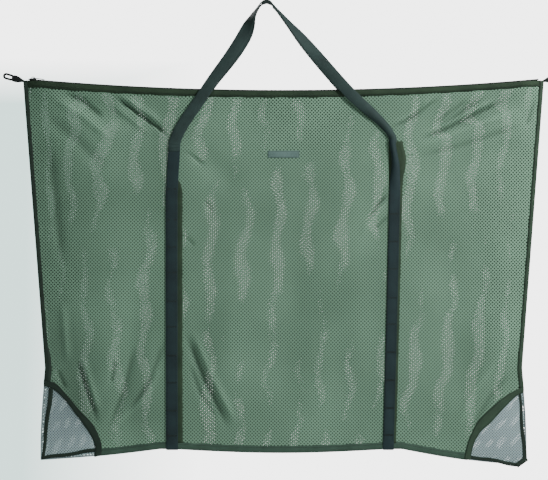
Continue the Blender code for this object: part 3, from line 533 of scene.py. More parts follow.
def hang(mesh, side, lift=0.0):
    """Lays a flat mesh on the cloth. Its X and Z are the sack's, and its Y is how far out it is."""
    places = coordinates(mesh)
    depth = cloth_depth(side, places[:, 0], places[:, 2])
    places[:, 1] = side * (depth + lift + places[:, 1])
    set_coordinates(mesh, places + np.array(SACK_PLACE))


def put(name, data):
    """A new object in the scene, at the origin."""
    obj = bpy.data.objects.new(name, data)
    bpy.context.scene.collection.objects.link(obj)
    return obj


def piece(name, mesh, material, body="sack", nodes=()):
    obj = put(name, mesh)
    mesh.materials.append(material)
    if body:
        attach(obj, body)
    if nodes:
        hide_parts(*nodes)
    return obj


def mesh_of(bm, name, smooth=True):
    mesh = bpy.data.meshes.new(name)
    for face in bm.faces:
        face.smooth = smooth
    bm.to_mesh(mesh)
    bm.free()
    return mesh


# Finishes


class Wiring:
    """A node tree, with helpers to add nodes to it and to link them."""

    def __init__(self, owner):
        owner.use_nodes = True
        self.nodes = owner.node_tree.nodes
        self.links = owner.node_tree.links

    def add(self, kind, **values):
        node = self.nodes.new(kind)
        for key, value in values.items():
            if key in node.inputs:
                node.inputs[key].default_value = value
            else:
                setattr(node, key, value)
        return node

    def link(self, out, into):
        self.links.new(out, into)

    def maths(self, operation, *values):
        node = self.add("ShaderNodeMath", operation=operation)
        for socket, value in zip(node.inputs, values):
            if isinstance(value, float):
                socket.default_value = value
            else:
                self.link(value, socket)
        return node.outputs["Value"]

    def tones(self, factor, *stops):
        """Colours along a factor. A single number stands for a grey."""
        ramp = self.add("ShaderNodeValToRGB")
        elements = ramp.color_ramp.elements
        while len(elements) < len(stops):
            elements.new(0.5)
        for element, (position, colour) in zip(elements, stops):
            element.position = position
            colour = (colour,) * 3 if isinstance(colour, float) else colour
            element.color = (*colour, 1.0)
        self.link(factor, ramp.inputs["Fac"])
        return ramp.outputs["Color"]


class Finish(Wiring):
    """A material of one shader, with helpers to wire its textures."""

    def __init__(self, name, roughness, metallic=0.0, sheen=0.0):
        self.material = bpy.data.materials.new(name)
        super().__init__(self.material)
        self.shader = self.nodes["Principled BSDF"]
        settings = {
            "Roughness": roughness,
            "Metallic": metallic,
            "Sheen Weight": sheen,
            "Sheen Roughness": 0.5,
            "Specular IOR Level": 0.5 if metallic else 0.22,
        }
        for socket, value in settings.items():
            self.shader.inputs[socket].default_value = value
        self.coordinates = self.nodes.new("ShaderNodeTexCoord")

    def noise(self, scale, detail):
        node = self.add("ShaderNodeTexNoise", Scale=scale, Detail=detail)
        self.link(self.coordinates.outputs["Object"], node.inputs["Vector"])
        return node.outputs["Fac"]

    def bands(self, pitch, axis, coordinates="UV"):
        """Waves across the surface, one for each pitch."""
        node = self.add("ShaderNodeTexWave", wave_type="BANDS", bands_direction=axis)
        node.inputs["Scale"].default_value = 1.0 / pitch / 20.0 * 2.0 * math.pi
        self.link(self.coordinates.outputs[coordinates], node.inputs["Vector"])
        return node.outputs["Fac"]

    def attribute(self, name):
        return self.add("ShaderNodeAttribute", attribute_name=name).outputs["Fac"]

    def multiply(self, first, second, amount=1.0):
        mix = self.add("ShaderNodeMix", data_type="RGBA", blend_type="MULTIPLY", Factor=amount)
        self.link(first, mix.inputs[6])
        self.link(second, mix.inputs[7])
        return mix.outputs[2]

    def colour(self, source):
        self.link(source, self.shader.inputs["Base Color"])

    def rough(self, source, low, high):
        node = self.add("ShaderNodeMapRange", **{"To Min": low, "To Max": high})
        self.link(source, node.inputs["Value"])
        self.link(node.outputs["Result"], self.shader.inputs["Roughness"])

    def bump(self, height, distance, strength):
        node = self.add("ShaderNodeBump", Strength=strength, Distance=distance)
        self.link(height, node.inputs["Height"])
        self.link(node.outputs["Normal"], self.shader.inputs["Normal"])


def shade(colour, amount):
    return tuple(channel * amount for channel in colour)


def knitted(name, colour, yarn):
    """Warp-knitted net: yarn loops along the strands, a little fading, painted shade in its creases
    and painted highlight on their ridges, painted shade on its holes' rims and painted highlight on
    its knots, and painted shade on its inner face.
    """
    finish = Finish(name, 0.78, sheen=0.06)
    patches = finish.noise(5.0, 4.0)
    fibre = finish.noise(1400.0, 2.0)
    tone = finish.tones(patches, (0.30, shade(colour, 0.84)), (0.70, shade(colour, 1.12)))
    speckle = finish.tones(fibre, (0.30, (0.66, 0.68, 0.66)), (0.70, 1.0))
    # Painted shade down to half in the bottom of a crease, and a painted highlight on its ridge
    crease_shade_level = finish.maths("MULTIPLY_ADD", finish.attribute("crease_shade"), 0.5, 0.5)
    crease = finish.tones(crease_shade_level, (0.0, 0.50), (0.5, 1.0), (1.0, 1.30))
    # Painted shade on the holes' rims, and a painted highlight on the knots between them
    lattice = finish.tones(finish.attribute("rim"), (0.05, 1.30), (0.75, 0.62))
    yarn_tone_and_rim_shade = finish.multiply(finish.multiply(tone, speckle, 0.8), lattice)
    # The net's inner face is painted darker: painted shade inside the sack, seen through the holes
    faces = finish.add("ShaderNodeNewGeometry")
    inner_face_shade = finish.tones(faces.outputs["Backfacing"], (0.0, 1.0), (1.0, 0.30))
    finish.colour(finish.multiply(finish.multiply(yarn_tone_and_rim_shade, crease), inner_face_shade))
    loops = finish.maths("MULTIPLY", *(finish.bands(yarn, axis, "Object") for axis in "XZ"))
    finish.bump(finish.maths("ADD", loops, fibre), 0.0002, 0.7)
    finish.rough(fibre, 0.68, 0.90)
    return finish.material


def woven(name, colour, wear, rib=0.0011, pick=0.0009):
    """Woven tape: ribs along its length, picks across it, paler where it wears."""
    finish = Finish(name, 0.7, sheen=0.03)
    weave = finish.maths("MULTIPLY", finish.bands(rib, "X"), finish.bands(pick, "Y"))
    fibre = finish.noise(900.0, 2.0)
    patches = finish.noise(28.0, 4.0)
    tone = finish.tones(patches, (0.30, shade(colour, 0.80)), (0.72, wear))
    yarn = finish.tones(weave, (0.0, 0.55), (0.75, 1.0))
    finish.colour(finish.multiply(tone, yarn, 0.8))
    finish.bump(finish.maths("ADD", weave, finish.maths("MULTIPLY", fibre, 0.5)), 0.00025, 0.8)
    finish.rough(patches, 0.58, 0.82)
    return finish.material


def plain(name, colour, roughness, grain, metallic=0.0):
    finish = Finish(name, roughness, metallic)
    patches = finish.noise(260.0, 3.0)
    finish.colour(finish.tones(patches, (0.3, shade(colour, 0.8)), (0.75, shade(colour, 1.35))))
    finish.bump(finish.noise(grain, 2.0), 0.00005, 0.4)
    finish.rough(patches, roughness * 0.8, min(1.0, roughness * 1.25))
    return finish.material


WEBBING_RIBS = (0.0021, 0.0012)

GREEN_NET = knitted("green_net_finish", (0.155, 0.276, 0.191), 0.0011)
GREY_NET = knitted("grey_net_finish", (0.330, 0.435, 0.450), 0.0007)
OLIVE_TAPE = woven("olive_tape_finish", (0.020, 0.045, 0.022), (0.030, 0.058, 0.030))
EDGE_TAPE = woven("edge_tape_finish", (0.013, 0.029, 0.019), (0.020, 0.038, 0.026))
# A lighter copy of the edge tape for the right-hand binding and band: painted light, as light falls
# from the right
RIGHT_LIT_TAPE = woven("right_lit_tape_finish", (0.030, 0.062, 0.036), (0.042, 0.078, 0.048))
LOWER_TAPE = woven("lower_tape_finish", (0.042, 0.089, 0.061), (0.057, 0.110, 0.078))
SIDE_TAPES = {"left": EDGE_TAPE, "right": RIGHT_LIT_TAPE}
GREY_EDGE = woven(
    "grey_edge_finish", (0.190, 0.255, 0.265), (0.260, 0.340, 0.350), 0.0009, 0.0007
)
WEBBING = woven(
    "webbing_finish", (0.0205, 0.0410, 0.0385), (0.0285, 0.0540, 0.0495), *WEBBING_RIBS
)
SEWN_WEBBING = woven(
    "sewn_webbing_finish", (0.0110, 0.0270, 0.0310), (0.0170, 0.0375, 0.0415), *WEBBING_RIBS
)
LOOP_CORD = woven(
    "loop_cord_finish", (0.006, 0.010, 0.010), (0.010, 0.015, 0.014), 0.0012, 0.0008
)
THREAD = plain("thread_finish", (0.010, 0.016, 0.014), 0.7, 2500.0)
LABEL = woven("label_finish", (0.135, 0.225, 0.205), (0.165, 0.262, 0.240), 0.0006, 0.0005)
ZIP_FABRIC = woven(
    "zip_fabric_finish", (0.006, 0.009, 0.008), (0.010, 0.013, 0.012), 0.0009, 0.0008
)
ZIP_TEETH = plain("zip_teeth_finish", (0.006, 0.007, 0.007), 0.45, 1200.0)
ZIP_METAL = plain("zip_metal_finish", (0.022, 0.024, 0.024), 0.50, 900.0, 0.3)


# Net


def in_drain(x, z):
    """True below the middle of a corner's band."""
    inside = np.zeros(np.shape(x), bool)
    for part, sign in ENDS.items():
        outer, inner = (np.array(edge) for edge in BANDS[part])
        places = np.linspace(0.0, 1.0, 30)
        middle = (along_path(outer, places) + along_path(inner, places)) / 2
        order = np.argsort(middle[:, 0])
        height = np.interp(x, middle[order, 0], middle[order, 1])
        inside |= (sign * x > np.abs(middle[:, 0]).min()) & (z < height)
    return inside


def lengths(points):
    """How far along a path each of its points is."""
    steps = np.linalg.norm(np.diff(points, axis=0), axis=1)
    return np.concatenate([[0.0], np.cumsum(steps)])


def along_path(points, shares):
    """The places at these shares of a path's length."""
    run = lengths(points)
    run /= run[-1]
    return np.stack([np.interp(shares, run, points[:, axis]) for axis in (0, 1)], axis=1)


def in_outline(x, z, margin):
    within = np.abs(x) < half_width(z) - margin
    return within & (z < mouth_z(x) - margin) & (z > bottom_z(x) + margin)


def green_region(part):
    def region(x, z):
        left = x < strap_x("left", z)
        right = x > strap_x("right", z)
        band = {"left": left, "right": right, "middle": ~left & ~right}[part]
        return band & in_outline(x, z, NET_INSET) & ~in_drain(x, z)

    return region


def grey_region(part):
    def region(x, z):
        band = x < 0 if part == "left" else (x > 0) & within_chamfer(x, z)
        return band & in_outline(x, z, SELVEDGE_WIDTH) & in_drain(x, z)

    return region


def within_chamfer(x, z):
    (first_x, first_z), (second_x, second_z) = CHAMFER
    return (x - first_x) * (first_z - second_z) < (z - first_z) * (first_x - second_x)


def pulled(x, z, side):
    """Where the lattice's points lie once the cloth is pulled out of square here and there."""
    turn = 1.0 if side == FRONT else -1.0
    crimp = CRIMP * np.sin(83.0 * x + 4.0 * turn) * np.sin(71.0 * z - 29.0 * x)
    across = PULL * np.sin(27.0 * x + 11.0 * z + turn) + PULL * np.sin(41.0 * z - 13.0 * x)
    down = PULL * np.sin(23.0 * z - 9.0 * x + 2.0 * turn) + PULL / 2 * np.sin(37.0 * x + 8.0 * z)
    stretch = BACK_STRETCH if side == BACK else 1.0
    return x * stretch + turn * across + crimp, z + turn * (down + crimp)


def lattice_of(bm, span, pitch, turn, stretch):
    """Fills the bmesh with square cells over a span, on a lattice that stands on its corner."""
    angle = math.radians(45.0 + turn)
    middle = Vector(((span[0] + span[1]) / 2 / stretch, (span[2] + span[3]) / 2))
    lattice = Matrix.Rotation(-angle, 2) @ middle
    centre = Matrix.Rotation(angle, 2) @ Vector([round(c / pitch) * pitch for c in lattice])
    reach = (span[1] - span[0] + span[3] - span[2]) / math.sqrt(2.0) * LATTICE_SPARE
    cells = 2 * math.ceil(reach / pitch / 2)
    bmesh.ops.create_grid(bm, x_segments=cells, y_segments=cells, size=cells * pitch / 2)
    bmesh.ops.rotate(bm, matrix=Matrix.Rotation(angle, 3, "Z"), verts=bm.verts)
    bmesh.ops.translate(bm, vec=(centre.x, centre.y, 0.0), verts=bm.verts)
    bmesh.ops.rotate(bm, matrix=Matrix.Rotation(math.pi / 2, 3, "X"), verts=bm.verts)


def open_meshes(bm, pitch, hole):
    """Opens each cell into a round hole, and marks the vertices on its rim."""
    hub = bm.verts.layers.float_vector.new("hub")
    rim = bm.verts.layers.float.new("rim")
    meshes = bm.faces[:]
    bmesh.ops.inset_individual(
        bm, faces=meshes, thickness=(pitch - hole) / 2, depth=0.0, use_even_offset=True
    )
    for face in meshes:
        middle = face.calc_center_median()
        for vert in face.verts:
            vert[hub] = middle
            vert[rim] = 1.0
    bmesh.ops.delete(bm, geom=meshes, context="FACES_ONLY")
    rims = [edge for edge in bm.edges if all(vert[rim] > 0.5 for vert in edge.verts)]
    bmesh.ops.subdivide_edges(bm, edges=rims, cuts=1)
    for vert in bm.verts:
        if vert[rim] > 0.5:
            vert.co = vert[hub] + (vert.co - vert[hub]).normalized() * hole * HOLE_ROUND
            vert.co.y = 0.0
    bm.verts.layers.float_vector.remove(bm.verts.layers.float_vector["hub"])


def net(name, side, region, span, pitch, hole, turn, material, node, rests_on):
    """A net of round meshes, cut to a region and hung on the cloth's folds."""
    bm = bmesh.new()
    lattice_of(bm, span, pitch, turn, BACK_STRETCH if side == BACK else 1.0)
    places = np.array([face.calc_center_median() for face in bm.faces])
    keep = region(*pulled(places[:, 0], places[:, 2], side))
    cut = [face for face, kept in zip(bm.faces[:], keep) if not kept]
    bmesh.ops.delete(bm, geom=cut, context="FACES")
    places = np.array([vert.co for vert in bm.verts])
    for vert, x, z in zip(bm.verts, *pulled(places[:, 0], places[:, 2], side)):
        vert.co = (x, KNOT_RISE, z)
    bm.normal_update()
    open_meshes(bm, pitch, hole)
    if side == BACK:
        bmesh.ops.reverse_faces(bm, faces=bm.faces)
    area = sum(face.calc_area() for face in bm.faces)
    mesh = mesh_of(bm, name)
    places = coordinates(mesh)
    # Each vertex keeps its painted crease shade for the net's finish
    folds = CREASE_SHADE_TONES[side].read(places[:, 0], places[:, 2]).astype(np.float32)
    mesh.attributes.new("crease_shade", "FLOAT", "POINT").data.foreach_set("value", folds)
    hang(mesh, side)
    obj = piece(name, mesh, material, nodes=(node,))


def make_nets():
    spans = {
        "left": (-0.60, -0.24, -0.85, 0.03),
        "middle": (-0.27, 0.27, -0.83, 0.01),
        "right": (0.23, 0.60, -0.86, 0.03),
    }
    for name, side in SIDES.items():
        turn, grey_turn = (BACK_TURN, GREY_TURN) if side == BACK else (0.0, 0.0)
        shape = (NET_PITCH, NET_HOLE[side], turn, GREEN_NET)
        hem = f"{name}_left_mouth_hem"
        for part, span in spans.items():
            region = green_region(part)
            net(f"{name}_green_{part}", side, region, span, *shape, f"{name}_net", [hem])
        shape = (GREY_PITCH, GREY_HOLE[side], grey_turn, GREY_NET)
        for part, sign in ENDS.items():
            near = sign * BASE_WIDTH / 2
            far = near - sign * DRAIN_WIDTH
            top = CORNER_LOW + DRAIN_HEIGHT + CORNER_SPARE
            span = (min(near, far), max(near, far), CORNER_LOW, top)
            node = f"{name}_{part}_drain_net"
            region = grey_region(part)
            net(f"{name}_grey_{part}", side, region, span, *shape, node, [f"{name}_net"])


# Tapes, webbing and stitches


def strip(name, rows, thickness, material, nodes=(), soften=0.0, body="sack"):
    """A tape through rows of the sack's points. Its UV map is in metres, across and along it."""
    rows = np.array([[tuple(Vector(point) + SACK_PLACE) for point in row] for row in rows])
    count, columns = rows.shape[:2]
    bm = bmesh.new()
    bmesh.ops.create_grid(bm, x_segments=columns - 1, y_segments=count - 1, size=1.0)
    verts = sorted(bm.verts, key=lambda vert: (round(vert.co.y, 6), round(vert.co.x, 6)))
    along = lengths(rows.mean(axis=1))
    across = lengths(rows[count // 2])
    flat = {}
    for index, (vert, place) in enumerate(zip(verts, rows.reshape(-1, 3))):
        vert.co = place
        flat[vert] = (across[index % columns], along[index // columns])
    layer = bm.loops.layers.uv.new("length")
    for face in bm.faces:
        for loop in face.loops:
            loop[layer].uv = flat[loop.vert]
    obj = piece(name, mesh_of(bm, name), material, body, nodes)
    wall = obj.modifiers.new("thickness", "SOLIDIFY")
    wall.thickness = thickness
    wall.offset = 0.0
    wall.use_even_offset = True
    if soften:
        edge = obj.modifiers.new("edge", "BEVEL")
        edge.width = soften
        edge.segments = 2
        edge.limit_method = "ANGLE"
    return obj


class Stitches:
    """The stitches of one seam on one face of the sack, gathered into one piece."""

    def __init__(self, name, side):
        self.name = name
        self.out = Vector((0.0, side, 0.0))
        self.bm = bmesh.new()

    def sew(self, place, along, length=0.0026, width=0.0006, height=0.0005):
        along = Vector(along).normalized()
        across = self.out.cross(along).normalized()
        turn = Matrix((along, across, self.out)).transposed().to_4x4()
        size = Matrix.Diagonal((length, width, height, 1.0))
        matrix = Matrix.Translation(place + SACK_PLACE) @ turn @ size
        bmesh.ops.create_cube(self.bm, size=1.0, matrix=matrix)

    def run(self, points, step=0.0036, **size):
        spare = 0.0
        for start, end in zip(points, points[1:]):
            reach = (end - start).length
            while spare < reach:
                self.sew(start.lerp(end, spare / reach), end - start, **size)
                spare += step
            spare -= reach

    def bartack(self, centre, width):
        """A dense zigzag of thread across the webbing."""
        for index in range(TACK_STITCHES):
            across = (index + 0.5) / TACK_STITCHES - 0.5
            place = centre + Vector((across * width, 0.0, 0.0))
            lean = TACK_LEAN if index % 2 else -TACK_LEAN
            self.sew(place, (lean, 0.0, 1.0), length=0.0042, width=0.0011, height=0.0008)

    def close(self):
        piece(self.name, mesh_of(self.bm, self.name, False), THREAD)


def sew(name, side, *lines, **size):
    """One seam along these lines, on one face of the sack."""
    stitches = Stitches(name, side)
    for line in lines:
        stitches.run(line, **size)
    stitches.close()


def outwards(points, off):
    return [point + Vector((0.0, off, 0.0)) for point in points]


def sew_binding(name, seam):
    """A folded tape's seam, on both of its faces."""
    for side_name, side in SIDES.items():
        off = side * (BINDING_MIDDLE + TAPE_THICKNESS / 2)
        sew(f"{side_name}_{name}", side, outwards(seam, off))


def on_cloth(side, x, z, lift):
    depth = float(cloth_depth(side, x, z)) + lift
    return Vector((float(x), side * depth, float(z)))


def pucker(run, phase, height):
    return height * (math.sin(run * 210.0 + phase) + 0.6 * math.sin(run * 95.0 + 2.0 * phase))


def u_section(edge, inward, reach, half, swell):
    """Points round a folded tape: down one face, over the edge, and down the other."""
    out = FOLD_TOP - TAPE_THICKNESS / 2
    section = [(reach, -half), (reach * 0.45, -half - swell), (0.0, -half)]
    for step in range(1, 6):
        angle = math.pi * step / 6
        section.append((-out * math.sin(angle), -half * math.cos(angle)))
    section += [(0.0, half), (reach * 0.45, half + swell), (reach, half)]
    return [Vector(edge) + Vector(inward) * run + Vector((0.0, off, 0.0)) for run, off in section]


def make_side_bindings():
    for part, sign in ENDS.items():
        band_top, band_low = (edge[0][1] for edge in BANDS[part])
        rows = []
        seam = []
        for z in np.linspace(float(mouth_z(MOUTH_WIDTH / 2)), (band_top + band_low) / 2, 80):
            x = sign * float(half_width(z))
            swell = pucker(z, sign, SIDE_PUCKER[0])
            spread = EDGE_SPREAD[part] * float(ease((SPREAD_TOP - z) / SPREAD_REACH))
            reach = SIDE_BINDING_WIDTH + spread + pucker(0.7 * z, 2.0, SIDE_PUCKER[1])
            rows.append(u_section((x, 0, z), (-sign, 0, 0), reach, BINDING_MIDDLE, swell))
            seam.append(Vector((x - sign * SIDE_BINDING_WIDTH * SIDE_SEAM_SHARE, 0.0, z)))
        name, nodes = f"{part}_edge", (f"{part}_side_binding",)
        strip(f"{name}_binding", rows, TAPE_THICKNESS, SIDE_TAPES[part], nodes)
        sew_binding(f"{name}_stitches", seam)


def make_bottom_binding():
    left, right = (BANDS[part][0][-1][0] + ENDS[part] * UNDER_BAND for part in ENDS)
    rows = []
    seam = []
    for x in np.linspace(left, right, 150):
        z = float(bottom_z(x))
        swell = pucker(x, 1.0, LOWER_PUCKER[0])
        reach = LOWER_BINDING_SHOWS + pucker(0.8 * x, 1.0, LOWER_PUCKER[1])
        rows.append(u_section((x, 0, z), (0, 0, 1), reach, BINDING_MIDDLE, swell))
        seam.append(Vector((x, 0.0, z + LOWER_BINDING_SHOWS * LOWER_SEAM_SHARE)))
    strip("lower_edge_binding", rows, TAPE_THICKNESS, LOWER_TAPE, ("bottom_binding",))
    sew_binding("lower_edge_stitches", seam)


def rounded(path):
    """A path with its corners eased."""
    knots = [(Vector((x, 0.0, z)), 0.0) for x, z in path]
    places = smooth_line(knots, 10)[0]
    return [(place.x, place.z) for place in places]


def tape_between(name, side, paths, lift, nodes, finish, steps, rise=0.0):
    """A tape that lies on the cloth between two paths, crowned, and further out at its ends."""
    shares = np.linspace(0.0, 1.0, steps)
    edges = [along_path(np.array(rounded(path)), shares) for path in paths]
    rows = []
    for share, one, other in zip(shares, *edges):
        more = rise * max(0.0, 1.0 - min(share, 1.0 - share) / 0.10)
        row = []
        for step in np.linspace(0.0, 1.0, 5):
            x, z = one + (other - one) * step
            crown = TAPE_CROWN * (1.0 - (2.0 * step - 1.0) ** 2)
            row.append(on_cloth(side, x, z, lift + crown + more))
        rows.append(row)
    strip(name, rows, TAPE_THICKNESS, finish, nodes)
    return rows


def make_corner_seams():
    """The narrow tapes that close the drainage corners, a little inside the net's cut edge."""
    for kind, lines, node in (
        ("side", CORNER_SEAMS, "{}_side_binding"),
        ("lower", LOWER_SEAMS, "bottom_binding"),
    ):
        for part, (line, widths) in lines.items():
            start, end = (np.array(point) for point in line)
            along = (end - start) / np.linalg.norm(end - start)
            across = np.array((-along[1], along[0]))
            paths = []
            for sign in (-1, 1):
                path = []
                for share in np.linspace(0.0, 1.0, 6):
                    wide = widths[0] + (widths[1] - widths[0]) * share
                    place = start + (end - start) * share + across * sign * wide / 2
                    bow = across * CORNER_SEAM_BOW * math.sin(3.0 * math.pi * share)
                    path.append(tuple(place + bow))
                paths.append(path)
            for side_name, side in SIDES.items():
                name, nodes = f"{side_name}_{part}_{kind}_seam", (node.format(part),)
                rows = tape_between(name, side, paths, TAPE_MIDDLE, nodes, EDGE_TAPE, 30)
                seam = outwards([row[2] for row in rows], side * TAPE_CROWN)
                sew(f"{name}_stitches", side, seam)


def make_selvedges():
    """The drainage net's own woven edges, along the sack's outline."""
    side_ends = {"left": float(bottom_z(-BASE_WIDTH / 2)) + 0.001, "right": CHAMFER[0][1]}
    low_ends = {"left": -BASE_WIDTH / 2 + 0.001, "right": CHAMFER[1][0]}
    for part, (outer, inner) in BANDS.items():
        sign = ENDS[part]
        heights = np.linspace((outer[0][1] + inner[0][1]) / 2, side_ends[part], 9)
        runs = np.linspace((outer[-1][0] + inner[-1][0]) / 2, low_ends[part], 9)
        edges = {
            "side": [(sign * float(half_width(z)), float(z)) for z in heights],
            "lower": [(float(x), float(bottom_z(x))) for x in runs],
        }
        inward = {"side": (-sign * SELVEDGE_WIDTH, 0.0), "lower": (0.0, SELVEDGE_WIDTH)}
        for kind, edge in edges.items():
            paths = (edge, [(x + inward[kind][0], z + inward[kind][1]) for x, z in edge])
            for side_name, side in SIDES.items():
                name = f"{side_name}_{part}_{kind}_selvedge"
                tape_between(name, side, paths, TAPE_OFFSET, (), GREY_EDGE, 24)


def make_corner_fold():
    """The tape folded over the cut-off right-hand corner."""
    half = SEAM_HALF + TAPE_OFFSET + TAPE_THICKNESS * 1.5 + TAPE_CROWN
    start, end = (Vector((x, 0.0, z)) for x, z in CHAMFER)
    inward = Vector((end.z - start.z, 0.0, start.x - end.x)).normalized()
    rows = []
    for share in np.linspace(-0.05, 1.05, 14):
        swell = pucker(share * 0.1, 1, CORNER_PUCKER)
        rows.append(u_section(start.lerp(end, share), inward, CORNER_FOLD_REACH, half, swell))
    strip("right_corner_fold", rows, TAPE_THICKNESS, EDGE_TAPE, ("bottom_binding",))


def make_hems():
    end = MOUTH_WIDTH / 2 - SIDE_BINDING_WIDTH - SEAM_GAP
    for side_name, side in SIDES.items():
        rows = []
        seam = []
        for x in np.linspace(-end, end, 170):
            z = float(mouth_z(x))
            depth = float(belly(np.array(x), np.array(z - HEM_WIDTH)))
            reach = HEM_SHOWS[0] + (HEM_SHOWS[1] - HEM_SHOWS[0]) * (0.5 + x / MOUTH_WIDTH)
            reach += pucker(0.6 * x, side, HEM_PUCKER[1])
            swell = pucker(x, side, HEM_PUCKER[0])
            rows.append(u_section((x, side * depth, z), (0, 0, -1), reach, TAPE_MIDDLE, swell))
            face = side * (depth + TAPE_MIDDLE + TAPE_THICKNESS / 2)
            seam.append(Vector((x, face, z - HEM_SEAM)))
        nodes = (f"{side_name}_left_mouth_hem", f"{side_name}_right_mouth_hem")
        strip(f"{side_name}_mouth_edge", rows, TAPE_THICKNESS, OLIVE_TAPE, nodes)
        sew(f"{side_name}_mouth_stitches", side, seam)


def make_drain_bands():
    for side_name, side in SIDES.items():
        for part, paths in BANDS.items():
            name = f"{side_name}_{part}_drain"
            place = (side, paths, TAPE_MIDDLE, (f"{name}_tape",))
            rows = tape_between(f"{name}_band", *place, SIDE_TAPES[part], 48, BAND_RISE)
            share = BAND_SEAM_SHARE
            seams = [[row[edge].lerp(row[2], share) for row in rows[2:-2]] for edge in (0, 4)]
            sew(f"{name}_stitches", side, *(outwards(seam, side * STITCH_OUT) for seam in seams))


def curl_at(strap, side, z):
    """How far round the webbing curls here, in radians from edge to edge."""
    if strap == "left" or side == BACK:
        return LEAST_CURL
    share = np.clip((z - CURL_END) / (CURL_TOP - CURL_END), 0.0, 1.0)
    return LEAST_CURL + (CURL - LEAST_CURL) * float(share * share * (3.0 - 2.0 * share))


def curled(width, curl):
    """Points across a curled tape: how far across, and how far out from its lowest point."""
    radius = width / curl
    angles = np.linspace(-curl / 2, curl / 2, CURL_COLUMNS)
    return radius * np.sin(angles), radius * (np.cos(angles) - math.cos(curl / 2))


def hump(z, shape):
    """A smooth hump down a strap: how much, at what height, and how far it reaches."""
    amount, height, reach = shape
    return amount * math.exp(-(((z - height) / reach) ** 2))


def strap_leg(strap, side):
    """Rows of points down one face of the sack, curled where the handle pulls the webbing."""
    width = SEWN_WIDTH[strap]
    rows = []
    for z in np.linspace(SEWN_START[strap], -SACK_HEIGHT + STRAP_END, 100):
        across, out = curled(width, curl_at(strap, side, z))
        x = float(strap_x(strap, z)) + SEWN_SHIFT[strap]
        inset = hump(z, CURL_INSET) if strap == "right" and side == FRONT else 0.0
        shift = inset - width / 2 - across.min()
        lift = STRAP_MIDDLE + pucker(z, side, STRAP_PUCKER)
        row = []
        for off, high in zip(across + shift, out):
            point = on_cloth(side, x, z, lift + float(high))
            row.append(point + Vector((float(off), 0.0, 0.0)))
        rows.append(row)
    return rows


def strap_turn(strap):
    """Rows of points under the sack's bottom, from its front face to its back one."""
    turn_out = SEAM_HALF + STRAP_MIDDLE
    x = float(strap_x(strap, -SACK_HEIGHT)) + SEWN_SHIFT[strap]
    offs = np.linspace(-0.5, 0.5, CURL_COLUMNS) * SEWN_WIDTH[strap]
    rows = []
    for step in range(1, 12):
        angle = math.pi * step / 12
        y = -turn_out * math.cos(angle)
        z = -SACK_HEIGHT + TURN_RISE - turn_out * math.sin(angle)
        rows.append([(x + off, y, z) for off in offs])
    return rows


def make_straps():
    for strap in ENDS:
        rows = strap_leg(strap, FRONT) + strap_turn(strap) + strap_leg(strap, BACK)[::-1]
        name, nodes = f"{strap}_webbing", (f"{strap}_strap",)
        strip(name, rows, WEBBING_THICKNESS, SEWN_WEBBING, nodes, WEBBING_EDGE)
        make_backings(strap)
        sew_strap(strap)


def backing_edge(strap, z):
    """How far to the right of the strap's line its olive backing shows."""
    if strap == "right":
        return BACKING_EDGE[strap] + hump(z, BACKING_BULGE)
    slant, reach = BACKING_SLANT
    return BACKING_EDGE[strap] + slant * (1.0 - float(ease((BACKING_START[strap] - z) / reach)))


def make_backings(strap):
    for side_name, side in SIDES.items():
        rows = []
        for z in np.linspace(BACKING_START[strap], -SACK_HEIGHT + BACKING_END, 110):
            x = float(strap_x(strap, z))
            right = backing_edge(strap, z) + pucker(z, 1.0, BACKING_PUCKER)
            offs = np.linspace(BACKING_EDGE[strap] - BACKING_WIDTH, right, 6)
            rows.append([on_cloth(side, x + off, z, TAPE_MIDDLE) for off in offs])
        name, nodes = f"{side_name}_{strap}", (f"{side_name}_{strap}_strap_backing",)
        strip(f"{name}_backing", rows, TAPE_THICKNESS, OLIVE_TAPE, nodes)


def sew_strap(strap):
    top = STRAP_OFFSET + WEBBING_THICKNESS + STITCH_OUT
    for side_name, side in SIDES.items():
        stitches = Stitches(f"{side_name}_{strap}_strap_stitches", side)
        for edge in (-STRAP_SEAM_HALF, STRAP_SEAM_HALF):
            line = []
            for z in np.linspace(STRAP_SEAM_START, -SACK_HEIGHT + STRAP_SEAM_END, 120):
                point = on_cloth(side, float(strap_x(strap, z)), z, top)
                line.append(point + Vector((SEWN_SHIFT[strap] + edge, 0.0, 0.0)))
            stitches.run(line)
        for z in TACKS[strap]:
            centre = on_cloth(side, float(strap_x(strap, z)) + SEWN_SHIFT[strap], z, top)
            stitches.bartack(centre, SEWN_WIDTH[strap] * TACK_SHARE)
        stitches.close()


def make_label():
    rows = []
    for z in np.linspace(LABEL_TOP, LABEL_LOW, 7):
        places = np.linspace(-LABEL_HALF, LABEL_HALF, 19)
        rows.append([on_cloth(FRONT, x, z, TAPE_OFFSET + LABEL_OUT) for x in places])
    strip("bare_label", rows, LABEL_THICKNESS, LABEL, ("label",), LABEL_EDGE)
    half, top, low = LABEL_HALF - LABEL_SEAM, LABEL_TOP - LABEL_SEAM, LABEL_LOW + LABEL_SEAM
    corners = ((-half, top), (half, top), (half, low), (-half, low))
    lines = []
    for start, end in zip(corners, corners[1:] + corners[:1]):
        places = np.linspace(start, end, 12)
        lines.append([on_cloth(FRONT, x, z, TAPE_OFFSET + 2 * LABEL_OUT) for x, z in places])
    sew("label_stitches", FRONT, *lines, **LABEL_STITCH)


# Handles


